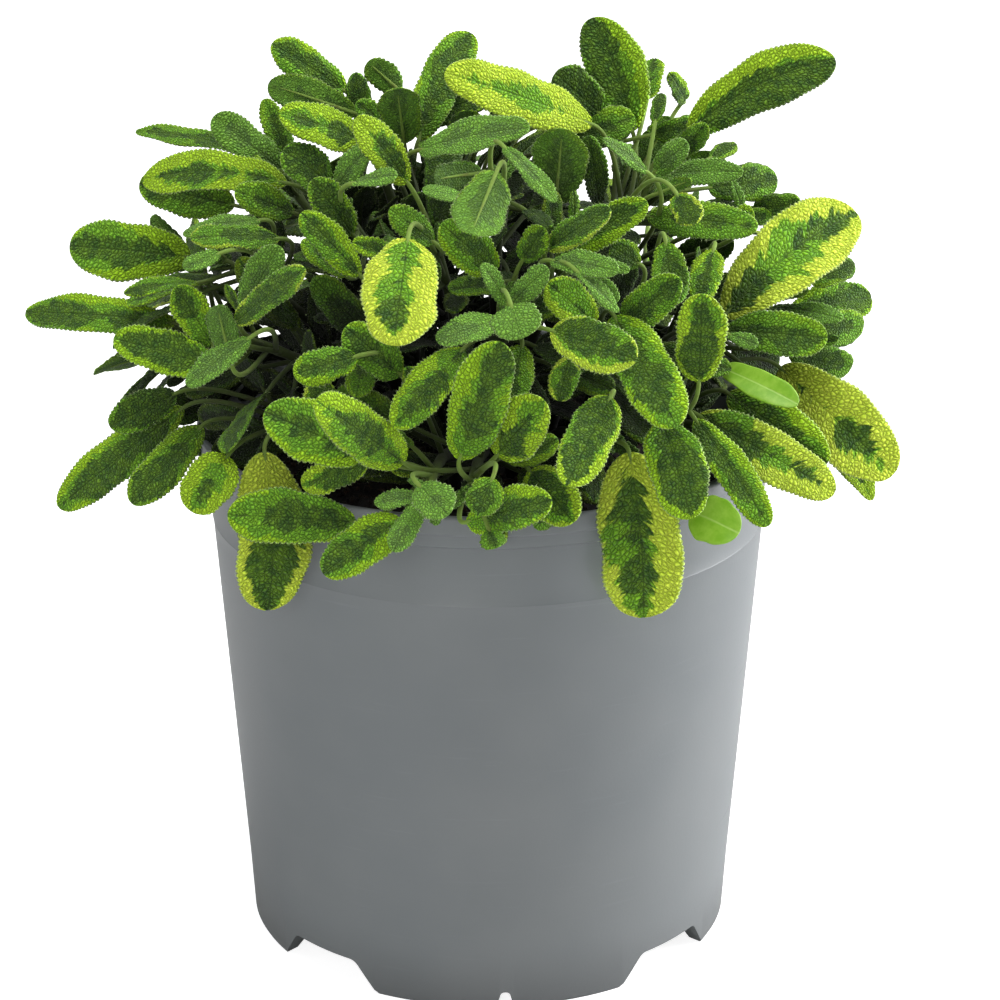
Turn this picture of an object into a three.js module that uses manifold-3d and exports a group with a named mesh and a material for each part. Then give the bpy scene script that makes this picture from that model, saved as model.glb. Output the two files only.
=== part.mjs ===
// Potted sage: a variegated garden sage bush growing in a grey nursery pot, with its soil and
// one smooth-leaved seedling. Millimetres, +Z up, origin on the floor at the middle of the whole
// object's outline; the pot's axis stands a little beside it, because the bush leans.
import * as THREE from 'three';
import { mergeVertices } from 'three/addons/utils/BufferGeometryUtils.js';
import Module from 'manifold-3d';

const wasm = await Module();
wasm.setup();

// ---- driving dimensions, in millimetres and degrees ----
const pot = {
  height: 143.5, lipRadius: 78.2, lipHeight: 4.8, bandRadius: 76, bandBottom: 134.1,
  wallTopRadius: 75, lineHeight: 118.3, lineRadius: 74.5, shoulderHeight: 17.5, shoulderRadius: 67,
  footRadius: 66, wall: 1.8, floorHeight: 12, sides: 44,
};
const arch = { count: 4, firstAzimuth: 48, height: 8.7, topHalfAngle: 9.5, bottomHalfAngle: 16 };
const footNotch = { firstAzimuth: 4, width: 5, topWidth: 2.25, height: 4.5 };
const cutter = { reachIn: 9, length: 14, below: 1 };
const soil = { top: 130, mound: 3, roughness: 1.1, clearance: 0.3, rings: 4, sides: 22 };
const stem = {
  footRadius: 2, tipRadius: 1.2, sides: 5, depth: 12, spacing: 9, spread: 0.42, reach: 56,
  rootShare: 0.45, rootSpacing: 2.3, rootOffset: 0.62,
};
const hole = { clearance: 0.75, sides: 6, below: 0.4, length: 30 };
const joint = { tolerance: 0.06 };
const petiole = {
  halfWidth: 0.9, halfThickness: 0.8, straightBelow: 34, bend: 0.3, stations: [0, 0.55, 1],
};
const blade = {
  ribThickness: 1.5, arch: 0.05, fold: 0.2, wave: 0.5, longFrom: 21,
  stations: [0.13, 0.38, 0.64, 0.87], shortStations: [0.16, 0.5, 0.84],
};
const layer = { gap: 3.2, margin: 1.3, rounds: 120, farthest: 20, passes: 3 };

// Where the pot's axis stands. All that follows is measured from the foot of that axis.
const potAxis = { x: 7, y: 4.5 };

// The eye looks at the bush from in front and above. Leaves on the near side are placed in its
// frame: across and up in the plane through the pot's axis, out towards the eye.
const eye = { distance: 900, elevation: 20.5, targetAcross: 3.2, targetHeight: 119.2 };

// The bush is a dome: leaf bases lie on a smaller dome inside the one that the tips reach.
const dome = { center: [-6, 2, 141], radius: [112, 100, 98], lowRadius: 45, baseScale: 0.8 };

// One entry for each leafy shoot on the near side. tip is its growing point: across, up, and how
// far it lies behind its leaf bases. A leaf is [tone, base across, base up, tip across, tip up,
// width, turn about its own axis, lift towards the eye, sideways bow]. A turn over 90 degrees
// shows the underside.
const nearShoots = {
  shoot_upper_left: { tip: [-56, 84, -14], leaves: [
    ['green', -70, 95, -99, 100, 5, 50, -2],
    ['grey', -59, 89, -78, 104, 10, 20, 0],
    ['lime', -58, 86, -97, 87, 11, 32, 8, -1.9],
    ['green', -72, 80, -98, 86, 12, 0, -4],
    ['green', -57, 91, -64, 109, 7, 10, -8],
    ['green', -46, 86, -59, 95, 11, 10, -10],
    ['green', -56, 78, -72, 84, 9, 10, -12],
  ] },
  shoot_top_left: { tip: [-37, 101, -12], leaves: [
    ['edged', -42, 111, -62, 124, 10, 15, 0],
    ['green', -39, 105, -63, 113, 10, 170, 6],
    ['lime', -36, 97, -60, 105, 11, 25, 14],
  ] },
  shoot_top: { tip: [-25, 90, -10], leaves: [
    ['grey', -22, 95, 8, 101, 9, 40, 12],
    ['edged', -22, 98, -8, 127, 12, 0, 0, 1.6],
    ['green', -27, 111, -36, 119, 8, 170, -10],
    ['green', -26, 97, -28, 112, 12, 180, 4],
    ['green', -31, 102, -39, 108, 6, 10, -8],
  ] },
  shoot_inner_left: { tip: [-41, 77, -16], leaves: [
    ['grey', -45, 84, -35, 97, 7, 20, 4],
    ['grey', -40, 86, -28, 88, 4, 55, 6],
    ['green', -40, 72, -51, 87, 10, 10, 0],
    ['edged', -38, 61, -54, 78, 9, 15, 6],
    ['green', -42, 61, -54, 70, 6, 40, -6],
    ['edged', -28, 66, -40, 70, 6, 15, 0],
  ] },
  shoot_yellow_leaf: { tip: [-18, 71, -16], leaves: [
    ['gold', -25, 71, -29, 42, 21, 0, 18],
    ['green', -18, 70, -30, 79, 8, 15, 4],
    ['lime', -25, 86, -39, 104, 10, 20, 17],
  ] },
  shoot_inner_top: { tip: [0, 87, -16], leaves: [
    ['green', -1, 89, -8, 72, 15, 180, 8],
    ['grey', -10, 82, -21, 84, 4, 50, 2],
    ['dull', -5, 89, -18, 87, 8, 170, -6],
    ['grey', 1, 96, 15, 81, 5, 40, 10],
    ['green', 15, 80, 17, 101, 15, 180, -8],
  ] },
  shoot_middle: { tip: [2, 51, -10], leaves: [
    ['grey', 2, 53, -5, 64, 5, 30, 6],
    ['grey', 3, 53, 13, 63, 7, 20, 6],
    ['grey', 3, 53, 6, 44, 14, 0, 12],
    ['grey', 0, 49, -17, 43, 8, 25, 6],
    ['edged', -1, 62, -16, 75, 12, 5, 2],
    ['green', 6, 65, 12, 74, 8, 10, -4],
    ['green', 6, 42, 2, 24, 10, 5, -10],
    ['halfgold', -10, 41, -29, 20, 12, 5, 0],
    ['goldedge', 14, 46, 37, 38, 14, 10, 14],
  ] },
  shoot_inner_right: { tip: [18, 64, -12], leaves: [
    ['rimmed', 13, 68, 30, 79, 8, 20, 8],
    ['edged', 16, 67, 40, 81, 10, 10, 2],
    ['grey', 14, 65, 32, 62, 7, 35, 8],
    ['grey', 24, 65, 35, 62, 4, 40, 2],
    ['grey', 21, 62, 32, 51, 4, 45, 8],
    ['grey', 24, 61, 32, 54, 5, 20, 4],
    ['green', 20, 75, 20, 84, 3, 20, -6],
  ] },
  shoot_top_right: { tip: [40, 85, -10], leaves: [
    ['patched', 51, 100, 91, 120, 15, 12, 0, 2.4],
    ['edged', 36, 100, 25, 131, 16, 0, 0, -1.4],
    ['edged', 40, 109, 42, 120, 7, 10, -14],
    ['edged', 50, 108, 46, 116, 5, 10, -12],
    ['grey', 42, 89, 51, 97, 7, 20, 6],
    ['grey', 41, 88, 66, 89, 7, 30, 8],
    ['green', 42, 83, 52, 87, 4, 160, 0],
    ['goldedge', 48, 83, 53, 75, 8, 10, 12],
    ['grey', 66, 78, 63, 87, 3, 20, -6],
    ['edged', 62, 76, 69, 78, 6, 10, -2],
    ['halfgold', 25, 102, -15, 116, 14, 20, 10],
    ['grey', 40, 89, 28, 98, 4, 45, 8],
    ['dull', 27, 105, 15, 116, 12, 5, -10],
    ['green', 40, 77, 70, 74, 10, 20, 4],
    ['dull', 27, 80, 24, 99, 7, 10, -12],
  ] },
  shoot_right: { tip: [58, 47, -12], leaves: [
    ['gold', 61, 50, 97, 78, 20, 8, 6, 2.2],
    ['edged', 79, 51, 101, 55, 11, 15, -10],
    ['grey', 73, 52, 93, 49, 5, 50, -2],
    ['green', 61, 46, 89, 44, 12, 10, 0],
    ['green', 85, 42, 92, 44, 3, 10, -12],
    ['grey', 62, 45, 70, 42, 4, 30, 6],
    ['green', 45, 70, 47, 53, 10, 5, -6],
    ['goldedge', 58, 68, 54, 54, 9, 5, -8],
  ] },
  shoot_lower_mid: { tip: [29, 48, -14], leaves: [
    ['lime', 26, 48, 13, 59, 11, 5, -2],
    ['edged', 31, 50, 48, 20, 16, 5, 6],
    ['green', 33, 47, 49, 60, 11, 10, -2],
    ['goldedge', 19, 39, 16, 27, 8, 5, -8],
    ['green', 38, 64, 30, 69, 8, 10, -14],
  ] },
  shoot_lower_right: { tip: [54, 25, -10], leaves: [
    ['goldedge', 53, 22, 73, -7, 10, 15, 8],
    ['halfgold', 54, 23, 91, 2, 14, 5, 2],
    ['goldedge', 62, 29, 89, 10, 14, 5, -6],
    ['lime', 82, 26, 101, 0, 7, 45, -10],
    ['gold', 76, 36, 107, 7, 19, 5, -8],
    ['halfgold', 54, 32, 55, 56, 14, 0, 12],
    ['edged', 44, 22, 52, -5, 16, 5, 6],
  ] },
  shoot_front_right: { tip: [30, 16, -10], leaves: [
    ['halfgold', 30, 28, 18, 4, 14, 0, 8],
    ['goldedge', 8, 8, 20, -6, 14, 5, -4],
    ['broad', 35, 13, 39, -32, 23, 0, 12, 1.1],
  ] },
  shoot_front_mid: { tip: [-8, 3, -8], leaves: [
    ['limeedge', -11, 11, 0, 43, 16, 0, 8],
    ['limeedge', -1, 12, 12, 27, 15, 5, 4],
    ['limeedge', -9, -6, 14, 0, 12, 10, 12],
    ['green', -2, 6, -6, -4, 10, 5, 4],
    ['green', -3, -8, -1, -13, 7, 5, 8],
    ['limeedge', -26, 10, -50, 27, 14, 5, 2],
  ] },
  shoot_front_left: { tip: [-20, 2, -2], leaves: [
    ['broad', -39, -6, -74, -4, 15, 8, 12],
    ['edged', -27, -5, -48, -20, 13, 8, 10],
    ['grey', -20, 1, -29, -14, 7, 20, 14],
    ['grey', -22, 4, -14, -4, 11, 10, 14],
    ['grey', -22, 1, -34, -1, 5, 30, 8],
    ['limeedge', -37, 12, -64, 24, 16, 5, 10],
    ['goldedge', -36, 10, -54, 4, 9, 5, 2],
  ] },
  shoot_low_left: { tip: [-65, 18, -6], leaves: [
    ['dull', -88, 29, -106, 20, 10, 5, -6],
    ['goldedge', -86, 25, -120, -2, 12, 10, 4],
    ['green', -81, 20, -100, -1, 11, 10, -2],
    ['gold', -74, 12, -84, -3, 14, 5, 2],
    ['gold', -64, 13, -63, -30, 20, 0, 8, 1.6],
  ] },
  shoot_left: { tip: [-71, 44, -10], leaves: [
    ['edged', -88, 48, -129, 51, 10, 20, 0],
    ['edged', -78, 42, -88, 58, 10, 5, 4],
    ['edged', -77, 36, -105, 44, 12, 10, 8],
    ['grey', -70, 51, -60, 69, 10, 5, 6],
    ['rimmed', -72, 48, -53, 63, 8, 15, 12],
    ['grey', -73, 37, -77, 53, 8, 175, 10],
    ['grey', -68, 44, -85, 31, 7, 25, 14],
  ] },
  shoot_left_upper: { tip: [-75, 65, -14], leaves: [
    ['edged', -84, 66, -117, 69, 16, 10, 0],
    ['grey', -65, 76, -86, 72, 5, 40, 2],
    ['goldedge', -60, 71, -84, 71, 7, 35, 6],
    ['grey', -76, 67, -86, 63, 5, 20, 8],
    ['edged', -82, 59, -102, 56, 4, 55, -6],
  ] },
  shoot_inner_low: { tip: [-32, 40, -18], leaves: [
    ['edged', -39, 39, -56, 34, 10, 10, 4],
    ['green', -27, 34, -42, 47, 12, 5, -6],
    ['goldedge', -49, 33, -49, 25, 9, 5, -2],
    ['green', -37, 38, -39, 28, 8, 5, -10],
  ] },
  smooth_leaved_seedling: { tip: [56, 20, -16], leaves: [
    ['smooth', 60, 36, 81, 26, 8, 15, 2],
    ['smooth', 52, -3, 65, -9, 13, 5, 4],
  ] },
};

// The far side and the crown's hidden parts grow by rule: [degrees round from +X, degrees down
// from the top] for each shoot, with opposite leaf pairs that turn by a quarter at each node.
const farShoots = {
  shoot_far_right: [30, 74], shoot_far_right_back: [42, 74], shoot_far_back_right: [74, 74],
  shoot_far_back_left: [106, 74], shoot_far_left_back: [138, 74], shoot_far_left: [167, 74],
  shoot_crown_right: [36, 42], shoot_crown_back: [90, 46], shoot_crown_left: [141, 42],
  shoot_crown_top: [84, 12],
};
const farPairs = [
  { down: 0.5, opening: 30, petiole: 3, length: 15 }, { down: 5, opening: 50, petiole: 7, length: 26 },
  { down: 12, opening: 66, petiole: 12, length: 36 }, { down: 20, opening: 82, petiole: 14, length: 40 },
];
const far = {
  firstSeed: 1048, crownPairs: 3, crownBelow: 60, scale: 0.7, slenderness: 0.38, droop: 0.1,
  scatter: 14, rimReach: 90, rimTop: 153, tones: ['edged', 'green', 'limeedge', 'goldedge'],
};

// Leaves of the rule, counted from the youngest, that find no room among their neighbours.
const noRoom = {
  shoot_far_right: [5], shoot_far_right_back: [6, 7], shoot_far_left_back: [7], shoot_far_left: [7],
  shoot_far_back_left: [5], shoot_crown_top: [1, 3, 5], shoot_crown_right: [1],
};

// ---- small helpers ----
function seededRandom(seed) {
  let state = seed;
  return () => {
    state = (state * 1664525 + 1013904223) % 4294967296;
    return state / 4294967296;
  };
}

const radians = THREE.MathUtils.degToRad;
const vector = (x, y, z) => new THREE.Vector3(x, y, z);
const sinEye = Math.sin(radians(eye.elevation));
const cosEye = Math.cos(radians(eye.elevation));

// Two ways of looking at the bush: from the eye, with its perspective, and straight down.
const eyeView = {
  origin: vector(eye.targetAcross, 0, eye.targetHeight), distance: eye.distance,
  right: vector(1, 0, 0), upward: vector(0, sinEye, cosEye), outward: vector(0, -cosEye, sinEye),
};
const planView = {
  origin: vector(0, 0, 0), distance: Infinity,
  right: vector(1, 0, 0), upward: vector(0, 1, 0), outward: vector(0, 0, 1),
};
const shrinkAt = (view, out) => (view.distance === Infinity ? 1 : 1 - out / view.distance);

function fromView(view, { across, up, out }) {
  const shrink = shrinkAt(view, out);
  return view.origin.clone().addScaledVector(view.right, across * shrink)
    .addScaledVector(view.upward, up * shrink).addScaledVector(view.outward, out);
}

function toView(view, point) {
  const offset = point.clone().sub(view.origin);
  const out = offset.dot(view.outward);
  const shrink = shrinkAt(view, out);
  return { across: offset.dot(view.right) / shrink, up: offset.dot(view.upward) / shrink, out };
}

// A closed solid from rings of points, ended by a flat cap and by a single point or a second cap.
function skin(rings, tipPoint) {
  const count = rings[0].length;
  const corners = [];
  const face = (a, b, c) => corners.push(...a.toArray(), ...b.toArray(), ...c.toArray());
  for (let i = 0; i + 1 < rings.length; i += 1) {
    for (let c = 0; c < count; c += 1) {
      const d = (c + 1) % count;
      const [lower, upper] = [rings[i], rings[i + 1]];
      if (c % 2 === 0) {
        face(lower[c], upper[d], upper[c]);
        face(lower[c], lower[d], upper[d]);
      } else {
        face(lower[c], lower[d], upper[c]);
        face(lower[d], upper[d], upper[c]);
      }
    }
  }
  for (let c = 1; c + 1 < count; c += 1) face(rings[0][0], rings[0][c + 1], rings[0][c]);
  const last = rings[rings.length - 1];
  if (tipPoint) {
    for (let c = 0; c < count; c += 1) face(last[c], last[(c + 1) % count], tipPoint);
  } else {
    for (let c = 1; c + 1 < count; c += 1) face(last[0], last[c], last[c + 1]);
  }
  const geometry = new THREE.BufferGeometry();
  geometry.setAttribute('position', new THREE.Float32BufferAttribute(corners, 3));
  return geometry;
}

function solidOf(geometry) {
  const bare = geometry.clone();
  bare.deleteAttribute('normal');
  bare.deleteAttribute('uv');
  const merged = mergeVertices(bare);
  const vertProperties = new Float32Array(merged.attributes.position.array);
  const triVerts = new Uint32Array(merged.index.array);
  return new wasm.Manifold(new wasm.Mesh({ numProp: 3, vertProperties, triVerts }));
}

// The largest piece of a solid, with any hollow that joining has sealed filled in.
function wholeBody(solid) {
  const pieces = solid.decompose().filter((piece) => piece.volume() > 0);
  return pieces.sort((a, b) => b.volume() - a.volume())[0];
}

function meshOf(solid, name, color, roughness) {
  const { vertProperties, triVerts } = wholeBody(solid).getMesh();
  const geometry = new THREE.BufferGeometry();
  geometry.setAttribute('position', new THREE.BufferAttribute(new Float32Array(vertProperties), 3));
  geometry.setIndex(new THREE.BufferAttribute(new Uint32Array(triVerts), 1));
  const mesh = new THREE.Mesh(geometry, new THREE.MeshStandardMaterial({ color, roughness, metalness: 0 }));
  mesh.name = name;
  return mesh;
}

// ---- the pot ----
function potProfile() {
  const inner = (radius) => radius - pot.wall;
  const points = [
    [0, pot.floorHeight - pot.wall], [pot.footRadius - 7, pot.floorHeight - pot.wall],
    [pot.footRadius - 4.5, 0], [pot.footRadius - 0.7, 0], [pot.footRadius, 1.2],
    [pot.shoulderRadius, pot.shoulderHeight], [pot.lineRadius, pot.lineHeight],
    [pot.wallTopRadius, pot.bandBottom], [pot.bandRadius, pot.bandBottom + 0.6],
    [pot.bandRadius + 0.2, pot.height - pot.lipHeight - 0.8], [pot.lipRadius, pot.height - pot.lipHeight],
    [pot.lipRadius, pot.height - 1], [pot.lipRadius - 0.7, pot.height],
    [inner(pot.lipRadius) + 0.4, pot.height], [inner(pot.bandRadius), pot.height - 2],
    [inner(pot.wallTopRadius), pot.bandBottom], [inner(pot.shoulderRadius), pot.shoulderHeight],
    [pot.footRadius - 4, pot.floorHeight], [0, pot.floorHeight],
  ];
  return points.map(([radius, height]) => new THREE.Vector2(radius, height));
}

function uprightLathe(points, sides) {
  return new THREE.LatheGeometry(points, sides).rotateX(Math.PI / 2);
}

// A block that widens downwards, long enough to pass through one side of the foot.
function archCutter(halfWidthTop, halfWidthBottom, height, azimuth) {
  const outline = new THREE.Shape([
    new THREE.Vector2(-halfWidthBottom, -cutter.below), new THREE.Vector2(halfWidthBottom, -cutter.below),
    new THREE.Vector2(halfWidthTop, height), new THREE.Vector2(-halfWidthTop, height),
  ]);
  const block = new THREE.ExtrudeGeometry(outline, { depth: cutter.length, bevelEnabled: false });
  block.rotateX(Math.PI / 2).translate(0, -(pot.footRadius - cutter.reachIn), 0);
  return solidOf(block.rotateZ(radians(azimuth)));
}

function makePot() {
  let body = solidOf(uprightLathe(potProfile(), pot.sides));
  for (let i = 0; i < arch.count; i += 1) {
    const turn = (360 / arch.count) * i;
    const top = pot.footRadius * Math.sin(radians(arch.topHalfAngle));
    const bottom = pot.footRadius * Math.sin(radians(arch.bottomHalfAngle));
    body = body.subtract(archCutter(top, bottom, arch.height, arch.firstAzimuth + turn));
    const { topWidth, width, height, firstAzimuth } = footNotch;
    body = body.subtract(archCutter(topWidth / 2, width / 2, height, firstAzimuth + turn));
  }
  return body;
}

// ---- the soil ----
function makeSoil(feet) {
  const random = seededRandom(11);
  const innerAt = (height) => {
    const low = pot.shoulderHeight;
    const share = (height - low) / (pot.bandBottom - low);
    return THREE.MathUtils.lerp(pot.shoulderRadius, pot.wallTopRadius, share) - pot.wall - soil.clearance;
  };
  const bottom = pot.floorHeight + soil.clearance;
  const points = [new THREE.Vector2(0, bottom), new THREE.Vector2(pot.footRadius - 4.6, bottom)];
  points.push(new THREE.Vector2(innerAt(pot.shoulderHeight), pot.shoulderHeight));
  for (let i = 0; i < soil.rings; i += 1) {
    const share = 1 - i / soil.rings;
    points.push(new THREE.Vector2(innerAt(soil.top) * share, soil.top + soil.mound * (1 - share ** 2)));
  }
  points.push(new THREE.Vector2(0, soil.top + soil.mound));
  const geometry = uprightLathe(points, soil.sides);
  geometry.deleteAttribute('normal');
  geometry.deleteAttribute('uv');
  const merged = mergeVertices(geometry);
  const position = merged.attributes.position;
  for (let i = 0; i < position.count; i += 1) {
    const isTop = position.getZ(i) > soil.top + 0.1;
    if (isTop) position.setZ(i, position.getZ(i) + soil.roughness * (2 * random() - 1));
  }
  let body = solidOf(merged);
  const wide = stem.footRadius + hole.clearance;
  for (const foot of feet) {
    const bore = new THREE.CylinderGeometry(wide, wide, hole.length, hole.sides).rotateX(Math.PI / 2);
    bore.translate(foot.x, foot.y, soil.top - stem.depth - hole.below + hole.length / 2);
    body = body.subtract(solidOf(bore));
  }
  return body;
}

// ---- placing the leaves ----
function domeDepth(point, scale) {
  const high = point.z > dome.center[2];
  const radii = [dome.radius[0], dome.radius[1], high ? dome.radius[2] : dome.lowRadius];
  const offset = [point.x, point.y, point.z].map((value, i) => (value - dome.center[i]) / radii[i]);
  return Math.hypot(...offset) - scale;
}

// How far out the sight line through a spot meets the dome, or passes it most closely.
function domeOut(across, up, scale) {
  const [start, end, step] = [130, -70, 2];
  let nearest = { out: 0, depth: Infinity };
  for (let out = start; out > end; out -= step) {
    const depth = domeDepth(fromView(eyeView, { across, up, out }), scale);
    if (depth < nearest.depth) nearest = { out, depth };
    if (depth <= 0) {
      let [inside, outside] = [out, out + step];
      for (let i = 0; i < 12; i += 1) {
        const middle = (inside + outside) / 2;
        const spot = fromView(eyeView, { across, up, out: middle });
        if (domeDepth(spot, scale) > 0) outside = middle;
        else inside = middle;
      }
      return inside;
    }
  }
  return nearest.out;
}

// The least distance out at which a spot seen from the eye clears the pot's wall and the soil.
function potOut(across, up) {
  const lipTop = pot.height + 2;
  const clearRadius = pot.lipRadius + 2.4;
  const soilTop = soil.top + soil.mound + 3;
  for (let out = 115; out > -60; out -= 1) {
    const point = fromView(eyeView, { across, up, out });
    const radius = Math.hypot(point.x, point.y);
    const inWall = point.z < lipTop && radius < clearRadius && radius > pot.wallTopRadius - 5;
    const inSoil = point.z < soilTop && radius < clearRadius;
    if (inWall || inSoil) return out;
  }
  return -Infinity;
}

const rimFloor = (across, up) => (Math.hypot(across, up) < far.rimReach ? far.rimTop : -Infinity);

// Leaf outline: half the width, as a share, at a share of the way from base to tip.
function halfWidthAt(share) {
  const inside = THREE.MathUtils.clamp(share, 0, 1);
  return Math.max(0, 1 - Math.abs(2 * inside - 1) ** 2.4) ** 0.5;
}

// The leaf's own axes: along it, its upper side, and across it.
function leafFrame({ start, end, top: hint }) {
  const length = start.distanceTo(end);
  const along = end.clone().sub(start).normalize();
  const top = hint.clone().addScaledVector(along, -hint.dot(along)).normalize();
  return { length, along, top, side: top.clone().cross(along) };
}

// The side of a line along which it faces a viewer, and the direction beside both.
function facingFrame(view, start, along) {
  const sight = view.distance === Infinity ? view.outward.clone()
    : view.origin.clone().addScaledVector(view.outward, view.distance).sub(start);
  const facing = sight.addScaledVector(along, -sight.dot(along)).normalize();
  return { facing, beside: along.clone().cross(facing) };
}

function nearLeaf(row) {
  const [tone, baseAcross, baseUp, tipAcross, tipUp, width, turn, lift, bow = 0] = row;
  const span = Math.hypot(tipAcross - baseAcross, tipUp - baseUp);
  const tipOut = domeOut(tipAcross, tipUp, 1) + lift;
  const baseOut = THREE.MathUtils.clamp(
    domeOut(baseAcross, baseUp, dome.baseScale) + lift, tipOut - 0.6 * span, tipOut + 0.35 * span);
  const start = fromView(eyeView, { across: baseAcross, up: baseUp, out: baseOut });
  const end = fromView(eyeView, { across: tipAcross, up: tipUp, out: tipOut });
  const { facing, beside } = facingFrame(eyeView, start, end.clone().sub(start).normalize());
  const angle = radians(turn);
  beside.multiplyScalar(Math.sign(beside.z) * Math.sin(angle));
  const foreshorten = Math.max(Math.abs(Math.cos(angle)), 0.35);
  return {
    tone, start, end, bow, top: facing.multiplyScalar(Math.cos(angle)).add(beside),
    width: (width / foreshorten) * shrinkAt(eyeView, tipOut),
  };
}

function nearShoot(name, { tip, leaves }) {
  const placed = leaves.map(nearLeaf);
  const outs = placed.map((leaf) => toView(eyeView, leaf.start).out);
  const meanOut = outs.reduce((sum, out) => sum + out, 0) / outs.length;
  const top = fromView(eyeView, { across: tip[0], up: tip[1], out: meanOut + tip[2] });
  return { name, top, leaves: placed, isNear: true };
}

// Leaves on the far side pass over the rim, never into the soil or the wall.
function aboveRim(point) {
  point.z = Math.max(point.z, rimFloor(point.x, point.y));
  return point;
}

function farShoot(name, [azimuth, polar], index) {
  const random = seededRandom(far.firstSeed + index * 7);
  const [a, p] = [radians(azimuth), radians(polar)];
  const direction = vector(Math.cos(a) * Math.sin(p), Math.sin(a) * Math.sin(p), Math.cos(p));
  const reach = vector(...dome.radius).multiplyScalar(far.scale).multiply(direction);
  const top = vector(...dome.center).add(reach);
  const axis = direction.clone().lerp(vector(0, 0, 1), 0.3).normalize();
  const first = vector(0, 0, 1).cross(axis).normalize();
  const second = axis.clone().cross(first);
  const startTurn = random() * 90;
  const leaves = [];
  const pairs = polar < far.crownBelow ? farPairs.slice(0, far.crownPairs) : farPairs;
  pairs.forEach((pair, node) => {
    for (const half of [0, 180]) {
      const spin = radians(startTurn + node * 90 + half + far.scatter * (random() - 0.5));
      const opening = radians(pair.opening + far.scatter * (random() - 0.5));
      const radial = first.clone().multiplyScalar(Math.cos(spin)).addScaledVector(second, Math.sin(spin));
      const way = axis.clone().multiplyScalar(Math.cos(opening)).addScaledVector(radial, Math.sin(opening));
      const knot = top.clone().addScaledVector(axis, -pair.down);
      const start = aboveRim(knot.addScaledVector(way, pair.petiole));
      const length = pair.length * (0.88 + 0.24 * random());
      const droop = way.clone().add(vector(0, 0, -far.droop)).normalize();
      const end = aboveRim(start.clone().addScaledVector(droop, length));
      const upper = axis.clone().multiplyScalar(Math.sin(opening)).addScaledVector(radial, -Math.cos(opening));
      const tone = node ? far.tones[Math.floor(random() * far.tones.length)] : 'grey';
      leaves.push({ tone, start, end, bow: 0, top: upper, width: length * far.slenderness });
    }
  });
  return { name, top, leaves, isNear: false };
}

// ---- stems and their feet ----
function spreadFeet(shoots) {
  const feet = shoots.map(({ top }) => new THREE.Vector2(top.x, top.y).multiplyScalar(stem.spread));
  for (let round = 0; round < 60; round += 1) {
    for (let i = 0; i < feet.length; i += 1) {
      for (let j = 0; j < i; j += 1) {
        const apart = feet[i].clone().sub(feet[j]);
        const short = stem.spacing - apart.length();
        if (short > 0) {
          apart.setLength(short / 2);
          feet[i].add(apart);
          feet[j].sub(apart);
        }
      }
      feet[i].clampLength(0, stem.reach);
    }
  }
  return feet;
}

function stemCurve(foot, top) {
  const ground = vector(foot.x, foot.y, soil.top + soil.mound);
  const bend = ground.clone().add(vector(0, 0, 0.45 * ground.distanceTo(top)));
  return new THREE.QuadraticBezierCurve3(ground, bend, top);
}

// Each leaf's root lies down the stem, farther for a leaf that stands farther off, and each in
// its own place.
function rootLeaves({ curve, top, leaves }) {
  const length = curve.getLength();
  const byDistance = [...leaves].sort((a, b) => a.start.distanceTo(top) - b.start.distanceTo(top));
  let last = 0;
  for (const leaf of byDistance) {
    const wanted = Math.min(stem.rootShare * leaf.start.distanceTo(top), 0.6 * length);
    last = Math.max(wanted, last + stem.rootSpacing);
    leaf.root = curve.getPointAt(Math.max(1 - last / length, 0.1));
    const way = leaf.start.clone().sub(leaf.root).normalize();
    leaf.root.addScaledVector(way, stem.rootOffset);
  }
}

// ---- keeping the leaves clear of one another ----
// In a view, a leaf is a flat strip and its stalk a thin one. Where two strips cover the same
// spot, the one in front stays in front everywhere, by at least the layer's gap. Only the
// distance towards the viewer changes, so the bush keeps its look from there.
function stripsOf(view, shoots) {
  const strips = [];
  for (const shoot of shoots) {
    for (const leaf of shoot.leaves) {
      const { along, top } = leafFrame(leaf);
      const { facing, beside } = facingFrame(view, leaf.start, along);
      const [cos, sin] = [top.dot(facing), top.dot(beside)];
      const slope = THREE.MathUtils.clamp(-sin / (Math.abs(cos) < 0.01 ? 0.01 : cos), -2.5, 2.5);
      const half = 0.5 * leaf.width * Math.max(Math.abs(cos), 0.12);
      const [base, tip, root] = [leaf.start, leaf.end, leaf.root].map((point) => toView(view, point));
      const rise = top.dot(view.outward);
      const shape = { hump: blade.arch * leaf.start.distanceTo(leaf.end) * rise, cup: blade.fold * rise };
      strips.push({ shoot, leaf, kind: 'blade', from: base, to: tip, half, slope, ...shape });
      strips.push({ shoot, leaf, kind: 'stalk', from: root, to: base, half: 1, slope: 0 });
    }
    const marks = [0, 0.25, 0.5, 0.75, 1].map((share) => toView(view, shoot.curve.getPointAt(share)));
    for (let i = 0; i + 1 < marks.length; i += 1) {
      strips.push({ shoot, leaf: null, kind: 'stem', from: marks[i], to: marks[i + 1], half: 1.9, slope: 0 });
    }
  }
  for (const strip of strips) {
    const [dx, dy] = [strip.to.across - strip.from.across, strip.to.up - strip.from.up];
    strip.length = Math.max(Math.hypot(dx, dy), 0.5);
    strip.along = [dx / strip.length, dy / strip.length];
  }
  return strips;
}

function samplesOf(strip) {
  const [steps, sides] = strip.kind === 'blade' ? [9, [-1, -0.5, 0, 0.5, 1]] : [8, [0]];
  const samples = [];
  for (let i = 0; i <= steps; i += 1) {
    const share = i / steps;
    for (const side of sides) {
      const aside = side * strip.half * (strip.kind === 'blade' ? halfWidthAt(share) : 1);
      samples.push({
        share, aside,
        across: strip.from.across + strip.along[0] * share * strip.length - strip.along[1] * aside,
        up: strip.from.up + strip.along[1] * share * strip.length + strip.along[0] * aside,
      });
    }
  }
  return samples;
}

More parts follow.
